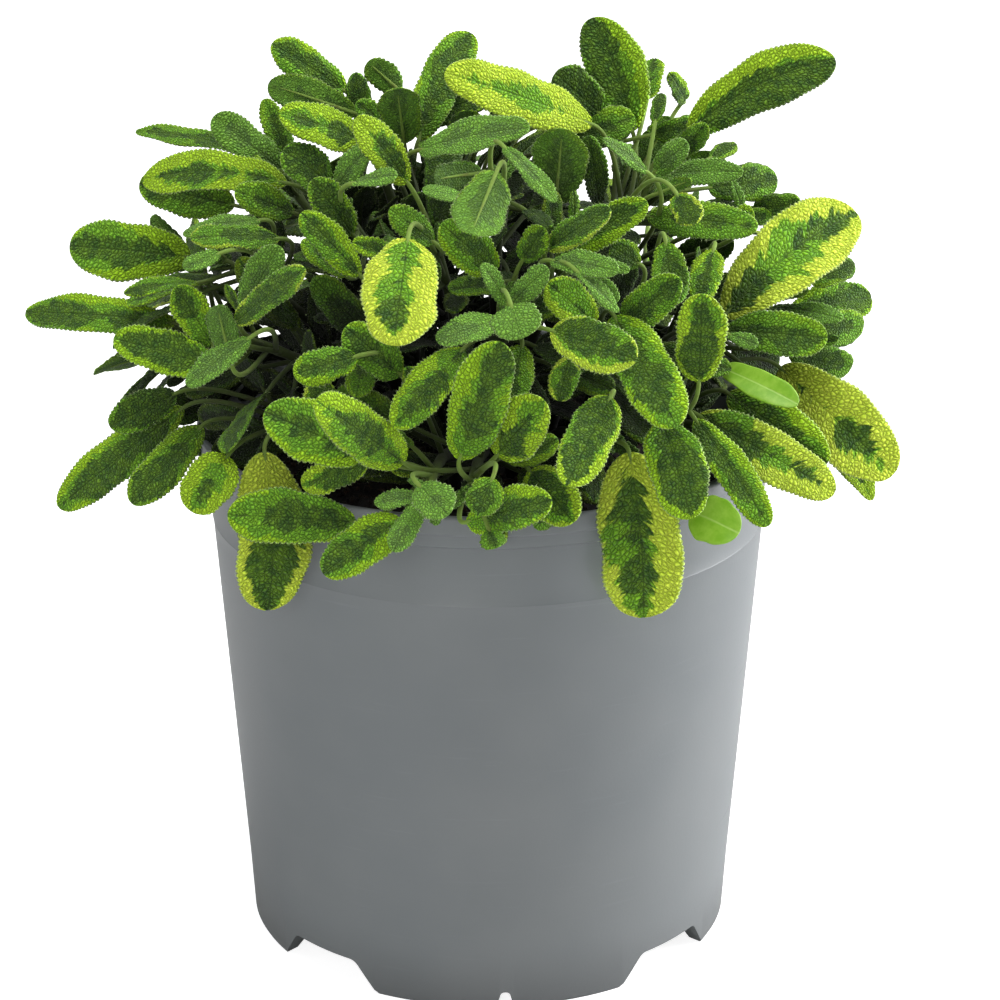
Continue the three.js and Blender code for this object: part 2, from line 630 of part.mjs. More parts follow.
// Where a spot falls on a strip, or null when it misses it.
function spotOn(strip, across, up) {
  const [dx, dy] = [across - strip.from.across, up - strip.from.up];
  const share = (dx * strip.along[0] + dy * strip.along[1]) / strip.length;
  const aside = dy * strip.along[0] - dx * strip.along[1];
  const overhang = layer.margin / strip.length;
  if (share < -overhang || share > 1 + overhang) return null;
  const half = strip.half * (strip.kind === 'blade' ? halfWidthAt(share) : 1) + layer.margin;
  return Math.abs(aside) < half ? { share, aside } : null;
}

function outAt({ from, to, slope, kind, hump, cup }, { share, aside }) {
  const flat = from.out * (1 - share) + to.out * share + slope * aside;
  return kind === 'blade' ? flat + hump * 4 * share * (1 - share) + cup * Math.abs(aside) : flat;
}

function findRules(strips) {
  const rules = [];
  for (let i = 0; i < strips.length; i += 1) {
    for (let j = 0; j < i; j += 1) {
      const [a, b] = [strips[i], strips[j]];
      const sameLeaf = a.leaf && a.leaf === b.leaf;
      const sameShoot = a.shoot === b.shoot && (a.kind !== 'blade' || b.kind !== 'blade');
      if (sameLeaf || sameShoot || (!a.leaf && !b.leaf)) continue;
      const meetings = [];
      for (const spot of samplesOf(a)) {
        const hit = spotOn(b, spot.across, spot.up);
        if (hit) meetings.push([spot, hit]);
      }
      for (const spot of samplesOf(b)) {
        const hit = spotOn(a, spot.across, spot.up);
        if (hit) meetings.push([hit, spot]);
      }
      const lead = meetings.reduce((sum, [onA, onB]) => sum + outAt(a, onA) - outAt(b, onB), 0);
      for (const [onA, onB] of meetings) rules.push({ a, b, onA, onB, sign: lead < 0 ? -1 : 1 });
    }
  }
  return rules;
}

// The ends of a strip that may move, with the share of the movement that each takes.
function movableEnds(strip, share, movesNear) {
  if (!strip.leaf || (strip.shoot.isNear && !movesNear)) return [];
  if (strip.kind === 'stalk') return [[strip.to, share]];
  return [[strip.from, 1 - share], [strip.to, share]];
}

function settle(view, shoots, floorAt, movesNear) {
  const strips = stripsOf(view, shoots);
  const rules = findRules(strips);
  const floors = [];
  for (const strip of strips.filter(({ kind }) => kind === 'blade')) {
    for (const spot of samplesOf(strip)) {
      const least = floorAt(spot.across, spot.up);
      if (outAt(strip, spot) > least - 40) floors.push({ strip, spot, least });
    }
  }
  for (const { from, to } of strips) for (const end of [from, to]) end.first = end.out;
  const push = (ends, amount) => {
    const total = ends.reduce((sum, [, share]) => sum + share * share, 0);
    for (const [end, share] of ends) {
      const moved = end.out + (amount * share) / Math.max(total, 0.25);
      end.out = THREE.MathUtils.clamp(moved, end.first - layer.farthest, end.first + layer.farthest);
    }
  };
  for (let round = 0; round < layer.rounds; round += 1) {
    for (const { a, b, onA, onB, sign } of rules) {
      const lead = sign * (outAt(a, onA) - outAt(b, onB));
      if (lead >= layer.gap) continue;
      const endsA = movableEnds(a, onA.share, movesNear);
      const endsB = movableEnds(b, onB.share, movesNear);
      const split = endsA.length && endsB.length ? 0.3 : 0.6;
      push(endsA, sign * split * (layer.gap - lead));
      push(endsB, -sign * split * (layer.gap - lead));
    }
    for (const { strip, spot, least } of floors) {
      const short = least - outAt(strip, spot);
      if (short > 0) push(movableEnds(strip, spot.share, movesNear), short);
    }
  }
  for (const { kind, shoot, leaf, from, to } of strips) {
    if (kind === 'blade') {
      const length = leaf.start.distanceTo(leaf.end);
      leaf.start = fromView(view, from);
      leaf.end = fromView(view, to);
      if (!shoot.isNear) leaf.end.sub(leaf.start).setLength(length).add(leaf.start);
    }
  }
}

// ---- the shapes of leaves and stems ----
// A leaf's side and upper side, turned as little as it takes to stand square to its stalk.
function squareTo(way, { side, top }) {
  const square = (direction) => direction.clone().addScaledVector(way, -direction.dot(way)).normalize();
  if (Math.abs(side.dot(way)) < Math.abs(top.dot(way))) {
    const across = square(side);
    return { side: across, top: way.clone().cross(across) };
  }
  const above = square(top);
  return { side: above.clone().cross(way), top: above };
}

function leafRing(center, { side, top }, halfWidth, rise, halfThickness) {
  return [
    center.clone().addScaledVector(side, halfWidth).addScaledVector(top, rise),
    center.clone().addScaledVector(top, halfThickness),
    center.clone().addScaledVector(side, -halfWidth).addScaledVector(top, rise),
    center.clone().addScaledVector(top, -halfThickness),
  ];
}

function leafSolid(leaf, random) {
  const { start } = leaf;
  const frame = leafFrame(leaf);
  const { length, along, top, side } = frame;
  const bend = start.clone().addScaledVector(along, -petiole.bend * leaf.root.distanceTo(start));
  const stalk = new THREE.QuadraticBezierCurve3(leaf.root, bend, start);
  const isShort = leaf.root.distanceTo(start) < petiole.straightBelow;
  const rings = (isShort ? [0, 1] : petiole.stations).map((share) => {
    const turned = squareTo(stalk.getTangent(share), frame);
    return leafRing(stalk.getPoint(share), turned, petiole.halfWidth, 0, petiole.halfThickness);
  });
  const stations = length < blade.longFrom ? blade.shortStations : blade.stations;
  for (const share of stations) {
    const hump = 4 * share * (1 - share);
    const center = start.clone().addScaledVector(along, length * share)
      .addScaledVector(top, blade.arch * length * hump).addScaledVector(side, leaf.bow * hump);
    const halfWidth = 0.5 * leaf.width * halfWidthAt(share) * (0.96 + 0.08 * random());
    const rise = blade.fold * halfWidth + blade.wave * (random() - 0.5);
    rings.push(leafRing(center, frame, halfWidth, rise, blade.ribThickness / 2));
  }
  return solidOf(skin(rings, start.clone().addScaledVector(along, length)));
}

function stemSolid(shoot, foot) {
  const bottom = soil.top - stem.depth;
  const centers = [vector(foot.x, foot.y, bottom), ...[0, 0.35, 0.7, 1].map((t) => shoot.curve.getPoint(t))];
  const rings = centers.map((center, i) => {
    const ahead = centers[Math.min(i + 1, centers.length - 1)].clone().sub(centers[Math.max(i - 1, 0)]);
    const flat = i < 2 ? vector(0, 0, 1) : ahead.normalize();
    const across = vector(0, 1, 0).cross(flat).normalize();
    const beyond = flat.clone().cross(across);
    const radius = THREE.MathUtils.lerp(stem.footRadius, stem.tipRadius, i / (centers.length - 1));
    return Array.from({ length: stem.sides }, (_, k) => {
      const turn = (k / stem.sides) * 2 * Math.PI;
      return center.clone().addScaledVector(across, radius * Math.cos(turn))
        .addScaledVector(beyond, radius * Math.sin(turn));
    });
  });
  return solidOf(skin(rings, null));
}

function shootSolid(shoot, foot, index) {
  const random = seededRandom(1001 + 13 * index);
  const parts = [stemSolid(shoot, foot), ...shoot.leaves.map((leaf) => leafSolid(leaf, random))];
  return wasm.Manifold.union(parts).simplify(joint.tolerance);
}

// ---- the whole object ----
const shoots = [
  ...Object.entries(nearShoots).map(([name, entry]) => nearShoot(name, entry)),
  ...Object.entries(farShoots).map(([name, entry], index) => farShoot(name, entry, index)),
];
const feet = spreadFeet(shoots);
shoots.forEach((shoot, i) => {
  shoot.curve = stemCurve(feet[i], shoot.top);
  rootLeaves(shoot);
});
for (let pass = 0; pass < layer.passes; pass += 1) {
  settle(planView, shoots, rimFloor, false);
  settle(eyeView, shoots, potOut, true);
}
for (const shoot of shoots) {
  const without = noRoom[shoot.name] ?? [];
  shoot.leaves = shoot.leaves.filter((_, i) => !without.includes(i));
}

const sage = new THREE.Group();
sage.position.set(potAxis.x, potAxis.y, 0);
sage.add(meshOf(makePot(), 'pot', 0x6f7476, 0.45));
sage.add(meshOf(makeSoil(feet), 'soil', 0x1a1714, 0.95));
shoots.forEach((shoot, i) => {
  const color = shoot.name.includes('seedling') ? 0x7fbf3a : 0x6f8a3c;
  sage.add(meshOf(shootSolid(shoot, feet[i], i), shoot.name, color, 0.8));
});

export default sage;
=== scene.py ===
import math
import bpy
import bmesh
import mathutils
import numpy as np
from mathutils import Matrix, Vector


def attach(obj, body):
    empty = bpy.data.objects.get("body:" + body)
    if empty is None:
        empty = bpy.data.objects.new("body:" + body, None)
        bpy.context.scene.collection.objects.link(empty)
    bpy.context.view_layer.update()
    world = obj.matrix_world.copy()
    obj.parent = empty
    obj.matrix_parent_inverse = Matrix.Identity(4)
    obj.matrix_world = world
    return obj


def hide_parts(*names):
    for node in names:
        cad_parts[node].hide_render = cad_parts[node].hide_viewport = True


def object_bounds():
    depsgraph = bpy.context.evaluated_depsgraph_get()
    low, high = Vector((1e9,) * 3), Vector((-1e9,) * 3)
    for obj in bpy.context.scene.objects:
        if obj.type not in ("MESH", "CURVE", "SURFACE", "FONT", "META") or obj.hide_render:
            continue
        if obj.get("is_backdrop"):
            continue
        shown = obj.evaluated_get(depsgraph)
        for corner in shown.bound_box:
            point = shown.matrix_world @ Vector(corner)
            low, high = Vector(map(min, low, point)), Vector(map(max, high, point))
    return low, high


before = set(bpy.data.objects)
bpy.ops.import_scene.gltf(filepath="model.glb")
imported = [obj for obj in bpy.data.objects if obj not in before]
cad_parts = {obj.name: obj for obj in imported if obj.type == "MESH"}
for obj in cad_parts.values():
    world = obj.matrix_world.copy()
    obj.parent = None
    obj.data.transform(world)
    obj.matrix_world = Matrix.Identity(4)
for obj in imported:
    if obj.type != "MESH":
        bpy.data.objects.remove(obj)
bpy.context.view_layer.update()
print("frame loaded", len(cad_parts), "nodes")

# Sizes are millimetres about the pot's axis, which stands here in the frame.
potAxis = (7.0, 4.5)
millimetre = 0.001
pot = dict(height=143.5, lipRadius=78.2, lipHeight=4.8, bandRadius=76.0, bandBottom=134.1,
           wallTopRadius=75.0, lineHeight=118.3, lineRadius=74.5, shoulderHeight=17.5,
           shoulderRadius=67.0, footRadius=66.0, wall=1.8, floorHeight=12.0)
soil = dict(top=130.0, mound=3.0)
eye = dict(distance=900.0, elevation=20.5, targetAcross=3.2, targetHeight=119.2)
dome = dict(center=(-6, 2, 141), radius=(112, 100, 98), lowRadius=45, baseScale=0.8)
stem = dict(footRadius=2.0, tipRadius=1.2, depth=12, spacing=9, spread=0.42, reach=56,
            rootShare=0.45, rootSpacing=2.3, rootOffset=0.62)
layer = dict(gap=3.2, margin=1.3, rounds=120, farthest=20, passes=3)
bladeForm = dict(arch=0.05, fold=0.2)

# tip is a shoot's growing point: across, up, and how far behind its leaf bases. A leaf is (tone,
# base across, base up, tip across, tip up, width, turn, lift, sideways bow).
nearShoots = {
    "shoot_upper_left": ((-56, 84, -14), [
        ("green", -70, 95, -99, 100, 5, 50, -2),
        ("grey", -59, 89, -78, 104, 10, 20, 0),
        ("lime", -58, 86, -97, 87, 11, 32, 8, -1.9),
        ("green", -72, 80, -98, 86, 12, 0, -4),
        ("green", -57, 91, -64, 109, 7, 10, -8),
        ("green", -46, 86, -59, 95, 11, 10, -10),
        ("green", -56, 78, -72, 84, 9, 10, -12),
    ]),
    "shoot_top_left": ((-37, 101, -12), [
        ("edged", -42, 111, -62, 124, 10, 15, 0),
        ("green", -39, 105, -63, 113, 10, 170, 6),
        ("lime", -36, 97, -60, 105, 11, 25, 14),
    ]),
    "shoot_top": ((-25, 90, -10), [
        ("grey", -22, 95, 8, 101, 9, 40, 12),
        ("edged", -22, 98, -8, 127, 12, 0, 0, 1.6),
        ("green", -27, 111, -36, 119, 8, 170, -10),
        ("green", -26, 97, -28, 112, 12, 180, 4),
        ("green", -31, 102, -39, 108, 6, 10, -8),
    ]),
    "shoot_inner_left": ((-41, 77, -16), [
        ("grey", -45, 84, -35, 97, 7, 20, 4),
        ("grey", -40, 86, -28, 88, 4, 55, 6),
        ("green", -40, 72, -51, 87, 10, 10, 0),
        ("edged", -38, 61, -54, 78, 9, 15, 6),
        ("green", -42, 61, -54, 70, 6, 40, -6),
        ("edged", -28, 66, -40, 70, 6, 15, 0),
    ]),
    "shoot_yellow_leaf": ((-18, 71, -16), [
        ("gold", -25, 71, -29, 42, 21, 0, 18),
        ("green", -18, 70, -30, 79, 8, 15, 4),
        ("lime", -25, 86, -39, 104, 10, 20, 17),
    ]),
    "shoot_inner_top": ((0, 87, -16), [
        ("green", -1, 89, -8, 72, 15, 180, 8),
        ("grey", -10, 82, -21, 84, 4, 50, 2),
        ("dull", -5, 89, -18, 87, 8, 170, -6),
        ("grey", 1, 96, 15, 81, 5, 40, 10),
        ("green", 15, 80, 17, 101, 15, 180, -8),
    ]),
    "shoot_middle": ((2, 51, -10), [
        ("grey", 2, 53, -5, 64, 5, 30, 6),
        ("grey", 3, 53, 13, 63, 7, 20, 6),
        ("grey", 3, 53, 6, 44, 14, 0, 12),
        ("grey", 0, 49, -17, 43, 8, 25, 6),
        ("edged", -1, 62, -16, 75, 12, 5, 2),
        ("green", 6, 65, 12, 74, 8, 10, -4),
        ("green", 6, 42, 2, 24, 10, 5, -10),
        ("limeedge", -10, 41, -29, 20, 12, 5, 0),
        ("goldedge", 14, 46, 37, 38, 14, 10, 14),
    ]),
    "shoot_inner_right": ((18, 64, -12), [
        ("rimmed", 13, 68, 30, 79, 8, 20, 8),
        ("edged", 16, 67, 40, 81, 10, 10, 2),
        ("grey", 14, 65, 32, 62, 7, 35, 8),
        ("grey", 24, 65, 35, 62, 4, 40, 2),
        ("grey", 21, 62, 32, 51, 4, 45, 8),
        ("grey", 24, 61, 32, 54, 5, 20, 4),
        ("green", 20, 75, 20, 84, 3, 20, -6),
    ]),
    "shoot_top_right": ((40, 85, -10), [
        ("patched", 51, 100, 91, 120, 15, 12, 0, 2.4),
        ("edged", 36, 100, 25, 131, 16, 0, 0, -1.4),
        ("edged", 40, 109, 42, 120, 7, 10, -14),
        ("edged", 50, 108, 46, 116, 5, 10, -12),
        ("grey", 42, 89, 51, 97, 7, 20, 6),
        ("grey", 41, 88, 66, 89, 7, 30, 8),
        ("green", 42, 83, 52, 87, 4, 160, 0),
        ("goldedge", 48, 83, 53, 75, 8, 10, 12),
        ("grey", 66, 78, 63, 87, 3, 20, -6),
        ("edged", 62, 76, 69, 78, 6, 10, -2),
        ("sunny", 25, 102, -15, 116, 14, 20, 10),
        ("grey", 40, 89, 28, 98, 4, 45, 8),
        ("dull", 27, 105, 15, 116, 12, 5, -10),
        ("green", 40, 77, 70, 74, 10, 20, 4),
        ("dull", 27, 80, 24, 99, 7, 10, -12),
    ]),
    "shoot_right": ((58, 47, -12), [
        ("gold", 61, 50, 97, 78, 20, 8, 6, 2.2),
        ("edged", 79, 51, 101, 55, 11, 15, -10),
        ("grey", 73, 52, 93, 49, 5, 50, -2),
        ("green", 61, 46, 89, 44, 12, 10, 0),
        ("green", 85, 42, 92, 44, 3, 10, -12),
        ("grey", 62, 45, 70, 42, 4, 30, 6),
        ("green", 45, 70, 47, 53, 10, 5, -6),
        ("limeedge", 58, 68, 54, 54, 9, 5, -8),
    ]),
    "shoot_lower_mid": ((29, 48, -14), [
        ("lime", 26, 48, 13, 59, 11, 5, -2),
        ("edged", 31, 50, 48, 20, 16, 5, 6),
        ("green", 33, 47, 49, 60, 11, 10, -2),
        ("goldedge", 19, 39, 16, 27, 8, 5, -8),
        ("green", 38, 64, 30, 69, 8, 10, -14),
    ]),
    "shoot_lower_right": ((54, 25, -10), [
        ("edged", 53, 22, 73, -7, 10, 15, 8),
        ("halfgold", 54, 23, 91, 2, 14, 5, 2),
        ("limeedge", 62, 29, 89, 10, 14, 5, -6),
        ("lime", 82, 26, 101, 0, 7, 45, -10),
        ("gold", 76, 36, 107, 7, 19, 5, -8),
        ("limeedge", 54, 32, 55, 56, 14, 0, 12),
        ("edged", 44, 22, 52, -5, 16, 5, 6),
    ]),
    "shoot_front_right": ((30, 16, -10), [
        ("limeedge", 30, 28, 18, 4, 14, 0, 8),
        ("limeedge", 8, 8, 20, -6, 14, 5, -4),
        ("broad", 35, 13, 39, -32, 23, 0, 12, 1.1),
    ]),
    "shoot_front_mid": ((-8, 3, -8), [
        ("edged", -11, 11, 0, 43, 16, 0, 8),
        ("lime", -1, 12, 12, 27, 15, 5, 4),
        ("edged", -9, -6, 14, 0, 12, 10, 12),
        ("green", -2, 6, -6, -4, 10, 5, 4),
        ("green", -3, -8, -1, -13, 7, 5, 8),
        ("limeedge", -26, 10, -50, 27, 14, 5, 2),
    ]),
    "shoot_front_left": ((-20, 2, -2), [
        ("edged", -39, -6, -74, -4, 15, 8, 12),
        ("edged", -27, -5, -48, -20, 13, 8, 10),
        ("grey", -20, 1, -29, -14, 7, 20, 14),
        ("grey", -22, 4, -14, -4, 11, 10, 14),
        ("grey", -22, 1, -34, -1, 5, 30, 8),
        ("edged", -37, 12, -64, 24, 16, 5, 10),
        ("limeedge", -36, 10, -54, 4, 9, 5, 2),
    ]),
    "shoot_low_left": ((-65, 18, -6), [
        ("dull", -88, 29, -106, 20, 10, 5, -6),
        ("edged", -86, 25, -120, -2, 12, 10, 4),
        ("green", -81, 20, -100, -1, 11, 10, -2),
        ("lime", -74, 12, -84, -3, 14, 5, 2),
        ("gold", -64, 13, -63, -30, 20, 0, 8, 1.6),
    ]),
    "shoot_left": ((-71, 44, -10), [
        ("edged", -88, 48, -129, 51, 10, 20, 0),
        ("edged", -78, 42, -88, 58, 10, 5, 4),
        ("edged", -77, 36, -105, 44, 12, 10, 8),
        ("grey", -70, 51, -60, 69, 10, 5, 6),
        ("rimmed", -72, 48, -53, 63, 8, 15, 12),
        ("grey", -73, 37, -77, 53, 8, 175, 10),
        ("grey", -68, 44, -85, 31, 7, 25, 14),
    ]),
    "shoot_left_upper": ((-75, 65, -14), [
        ("edged", -84, 66, -117, 69, 16, 10, 0),
        ("grey", -65, 76, -86, 72, 5, 40, 2),
        ("rimmed", -60, 71, -84, 71, 7, 35, 6),
        ("grey", -76, 67, -86, 63, 5, 20, 8),
        ("edged", -82, 59, -102, 56, 4, 55, -6),
    ]),
    "shoot_inner_low": ((-32, 40, -18), [
        ("edged", -39, 39, -56, 34, 10, 10, 4),
        ("green", -27, 34, -42, 47, 12, 5, -6),
        ("goldedge", -49, 33, -49, 25, 9, 5, -2),
        ("green", -37, 38, -39, 28, 8, 5, -10),
    ]),
    "smooth_leaved_seedling": ((56, 20, -16), [
        ("smooth", 60, 36, 81, 26, 8, 15, 2),
        ("smooth", 52, -3, 65, -9, 13, 5, 4),
    ]),
}
# Shoots behind and on top, in degrees round from +X and down from the top.
farShoots = {
    "shoot_far_right": (30, 74), "shoot_far_right_back": (42, 74), "shoot_far_back_right": (74, 74),
    "shoot_far_back_left": (106, 74), "shoot_far_left_back": (138, 74), "shoot_far_left": (167, 74),
    "shoot_crown_right": (36, 42), "shoot_crown_back": (90, 46), "shoot_crown_left": (141, 42),
    "shoot_crown_top": (84, 12),
}
# Their pairs of leaves: down the stem, opening, stalk and length.
farPairs = [(0.5, 30, 3, 15), (5, 50, 7, 26), (12, 66, 12, 36), (20, 82, 14, 40)]
far = dict(firstSeed=1048, crownPairs=3, crownBelow=60, scale=0.7, slenderness=0.38, droop=0.1,
           scatter=14, rimReach=90, rimTop=153, tones=["edged", "green", "limeedge", "goldedge"])
# Leaves of theirs that have no room to grow.
noRoom = dict(shoot_far_right=[5], shoot_far_right_back=[6, 7], shoot_far_left_back=[7],
              shoot_far_left=[7], shoot_far_back_left=[5], shoot_crown_top=[1, 3, 5],
              shoot_crown_right=[1])

def steadyRandom(seed):
    state = seed
    while True:
        state = (state * 1664525 + 1013904223) % 4294967296
        yield state / 4294967296

def unit(v):
    return v / np.sqrt((v * v).sum())

def clampValue(value, low, high):
    return max(low, min(high, value))

sinEye, cosEye = math.sin(math.radians(eye["elevation"])), math.cos(math.radians(eye["elevation"]))
eyeView = dict(origin=np.array([eye["targetAcross"], 0, eye["targetHeight"]]), distance=eye["distance"],
               right=np.array([1.0, 0, 0]), upward=np.array([0, sinEye, cosEye]),
               outward=np.array([0, -cosEye, sinEye]))
planView = dict(origin=np.zeros(3), distance=math.inf, right=np.array([1.0, 0, 0]),
                upward=np.array([0, 1.0, 0]), outward=np.array([0, 0, 1.0]))

def shrinkAt(view, out):
    return 1 - out / view["distance"]

def fromView(view, across, up, out):
    shrink = np.asarray(shrinkAt(view, out))[..., None]
    flat = np.multiply.outer(across, view["right"]) + np.multiply.outer(up, view["upward"])
    return view["origin"] + flat * shrink + np.multiply.outer(out, view["outward"])

def toView(view, point):
    offset = point - view["origin"]
    out = offset @ view["outward"]
    shrink = shrinkAt(view, out)
    return np.array([offset @ view["right"] / shrink, offset @ view["upward"] / shrink, out])

def domeDepth(point, scale):
    center = np.array(dome["center"])
    low = np.array([dome["radius"][0], dome["radius"][1], dome["lowRadius"]])
    radii = np.where((point[..., 2] > center[2])[..., None], np.array(dome["radius"]), low)
    return np.sqrt((((point - center) / radii) ** 2).sum(-1)) - scale

def domeOut(across, up, scale):
    outs = np.arange(130, -70, -2.0)
    depths = domeDepth(fromView(eyeView, np.full(len(outs), across), np.full(len(outs), up), outs), scale)
    hits = np.flatnonzero(depths <= 0)
    if len(hits) == 0:
        return outs[int(np.argmin(depths))]
    inside = outs[hits[0]]
    outside = inside + 2
    for _ in range(12):
        middle = (inside + outside) / 2
        if domeDepth(fromView(eyeView, across, up, middle), scale) > 0:
            outside = middle
        else:
            inside = middle
    return inside

def potOut(across, up):
    outs = np.arange(115, -60, -1.0)
    shape = (len(across), len(outs))
    many = [np.broadcast_to(row, shape) for row in (across[:, None], up[:, None], outs[None, :])]
    point = fromView(eyeView, *many)
    radius = np.hypot(point[..., 0], point[..., 1])
    clear = radius < pot["lipRadius"] + 2.4
    inWall = (point[..., 2] < pot["height"] + 2) & clear & (radius > pot["wallTopRadius"] - 5)
    inSoil = (point[..., 2] < soil["top"] + soil["mound"] + 3) & clear
    hit = inWall | inSoil
    return np.where(hit.any(1), outs[np.argmax(hit, 1)], -np.inf)

def rimFloor(across, up):
    return np.where(np.hypot(across, up) < far["rimReach"], float(far["rimTop"]), -np.inf)

def halfWidthAt(share):
    inside = np.clip(share, 0, 1)
    return np.sqrt(np.maximum(0, 1 - np.abs(2 * inside - 1) ** 2.4))

def leafFrame(leaf):
    length = np.linalg.norm(leaf["end"] - leaf["start"])
    along = unit(leaf["end"] - leaf["start"])
    top = unit(leaf["top"] - along * (leaf["top"] @ along))
    return length, along, top, np.cross(top, along)

def facingFrame(view, start, along):
    if view["distance"] == math.inf:
        sight = view["outward"]
    else:
        sight = view["origin"] + view["outward"] * view["distance"] - start
    facing = unit(sight - along * (sight @ along))
    return facing, np.cross(along, facing)

def nearLeaf(row):
    tone, baseAcross, baseUp, tipAcross, tipUp, width, turn, lift = row[:8]
    span = math.hypot(tipAcross - baseAcross, tipUp - baseUp)
    tipOut = domeOut(tipAcross, tipUp, 1) + lift
    baseOut = clampValue(domeOut(baseAcross, baseUp, dome["baseScale"]) + lift,
                         tipOut - 0.6 * span, tipOut + 0.35 * span)
    start = fromView(eyeView, baseAcross, baseUp, baseOut)
    end = fromView(eyeView, tipAcross, tipUp, tipOut)
    facing, beside = facingFrame(eyeView, start, unit(end - start))
    angle = math.radians(turn)
    top = facing * math.cos(angle) + beside * (np.sign(beside[2]) * math.sin(angle))
    wide = width / max(abs(math.cos(angle)), 0.35) * shrinkAt(eyeView, tipOut)
    return dict(tone=tone, start=start, end=end, top=top, width=wide, bow=row[8] if len(row) > 8 else 0)

def nearShoot(name, tip, rows):
    leaves = [nearLeaf(row) for row in rows]
    meanOut = sum(toView(eyeView, leaf["start"])[2] for leaf in leaves) / len(leaves)
    top = fromView(eyeView, tip[0], tip[1], meanOut + tip[2])
    return dict(name=name, top=top, leaves=leaves, isNear=True)

def aboveRim(point):
    point[2] = max(point[2], float(rimFloor(point[0], point[1])))
    return point

def farShoot(name, azimuth, polar, index):
    draw = steadyRandom(far["firstSeed"] + index * 7)
    a, p = math.radians(azimuth), math.radians(polar)
    direction = np.array([math.cos(a) * math.sin(p), math.sin(a) * math.sin(p), math.cos(p)])
    top = np.array(dome["center"]) + np.array(dome["radius"]) * far["scale"] * direction
    axis = unit(direction * 0.7 + np.array([0, 0, 0.3]))
    first = unit(np.cross([0, 0, 1.0], axis))
    second = np.cross(axis, first)
    startTurn = next(draw) * 90
    leaves = []
    pairs = farPairs[:far["crownPairs"]] if polar < far["crownBelow"] else farPairs
    for knot, (down, opening, stalk, fullLength) in enumerate(pairs):
        for half in (0, 180):
            spin = math.radians(startTurn + knot * 90 + half + far["scatter"] * (next(draw) - 0.5))
            tilt = math.radians(opening + far["scatter"] * (next(draw) - 0.5))
            radial = first * math.cos(spin) + second * math.sin(spin)
            way = axis * math.cos(tilt) + radial * math.sin(tilt)
            start = aboveRim(top - axis * down + way * stalk)
            length = fullLength * (0.88 + 0.24 * next(draw))
            end = aboveRim(start + unit(way - np.array([0, 0, far["droop"]])) * length)
            upper = axis * math.sin(tilt) - radial * math.cos(tilt)
            tone = far["tones"][int(next(draw) * len(far["tones"]))] if knot else "grey"
            leaves.append(dict(tone=tone, start=start, end=end, top=upper, bow=0,
                               width=length * far["slenderness"]))
    return dict(name=name, top=top, leaves=leaves, isNear=False)

def spreadFeet(shoots):
    feet = [shoot["top"][:2] * stem["spread"] for shoot in shoots]
    for _ in range(60):
        for i in range(len(feet)):
            for j in range(i):
                apart = feet[i] - feet[j]
                distance = math.hypot(*apart)
                short = stem["spacing"] - distance
                if short > 0:
                    step = apart * (short / 2 / distance)
                    feet[i] = feet[i] + step
                    feet[j] = feet[j] - step
            away = math.hypot(*feet[i])
            if away > stem["reach"]:
                feet[i] = feet[i] * (stem["reach"] / away)
    return feet

def bezierAt(curve, share):
    share = np.asarray(share, float)[..., None]
    a, b, c = curve
    return (1 - share) ** 2 * a + 2 * (1 - share) * share * b + share ** 2 * c

def curveLengths(curve):
    points = bezierAt(curve, np.linspace(0, 1, 201))
    return np.concatenate([[0], np.cumsum(np.linalg.norm(np.diff(points, axis=0), axis=1))])

def pointAlong(curve, lengths, share):
    wanted = share * lengths[-1]
    return bezierAt(curve, np.interp(wanted, lengths, np.linspace(0, 1, 201)))

def stemCurve(foot, top):
    ground = np.array([foot[0], foot[1], soil["top"] + soil["mound"]])
    bend = ground + np.array([0, 0, 0.45 * np.linalg.norm(ground - top)])
    return ground, bend, top

def rootLeaves(shoot):
    lengths = curveLengths(shoot["curve"])
    total = lengths[-1]
    top = shoot["top"]
    last = 0
    for leaf in sorted(shoot["leaves"], key=lambda leaf: np.linalg.norm(leaf["start"] - top)):
        wanted = min(stem["rootShare"] * np.linalg.norm(leaf["start"] - top), 0.6 * total)
        last = max(wanted, last + stem["rootSpacing"])
        root = pointAlong(shoot["curve"], lengths, max(1 - last / total, 0.1))
        leaf["root"] = root + unit(leaf["start"] - root) * stem["rootOffset"]
    shoot["marks"] = pointAlong(shoot["curve"], lengths, np.array([0, 0.25, 0.5, 0.75, 1]))

# A leaf is a flat strip in a view, its stalk and the stems thin ones. Where two strips cover one
# spot, the front one stays in front by at least the layer's gap.
def stripsOf(view, shoots):
    ends, strips = [], []
    def addEnd(point):
        ends.append(toView(view, point))
        return len(ends) - 1
    for shoot in shoots:
        for leaf in shoot["leaves"]:
            length, along, top, _ = leafFrame(leaf)
            facing, beside = facingFrame(view, leaf["start"], along)
            cos, sin = top @ facing, top @ beside
            slope = clampValue(-sin / (0.01 if abs(cos) < 0.01 else cos), -2.5, 2.5)
            base, tip, root = addEnd(leaf["start"]), addEnd(leaf["end"]), addEnd(leaf["root"])
            rise = top @ view["outward"]
            strips.append(dict(shoot=shoot, leaf=leaf, kind="blade", ends=(base, tip), slope=slope,
                               half=0.5 * leaf["width"] * max(abs(cos), 0.12),
                               hump=bladeForm["arch"] * length * rise, cup=bladeForm["fold"] * rise))
            strips.append(dict(shoot=shoot, leaf=leaf, kind="stalk", ends=(root, base), slope=0,
                               half=1, hump=0, cup=0))
        marks = [addEnd(point) for point in shoot["marks"]]
        for a, b in zip(marks, marks[1:]):
            strips.append(dict(shoot=shoot, leaf=None, kind="stem", ends=(a, b), slope=0,
                               half=1.9, hump=0, cup=0))
    return np.array(ends), strips

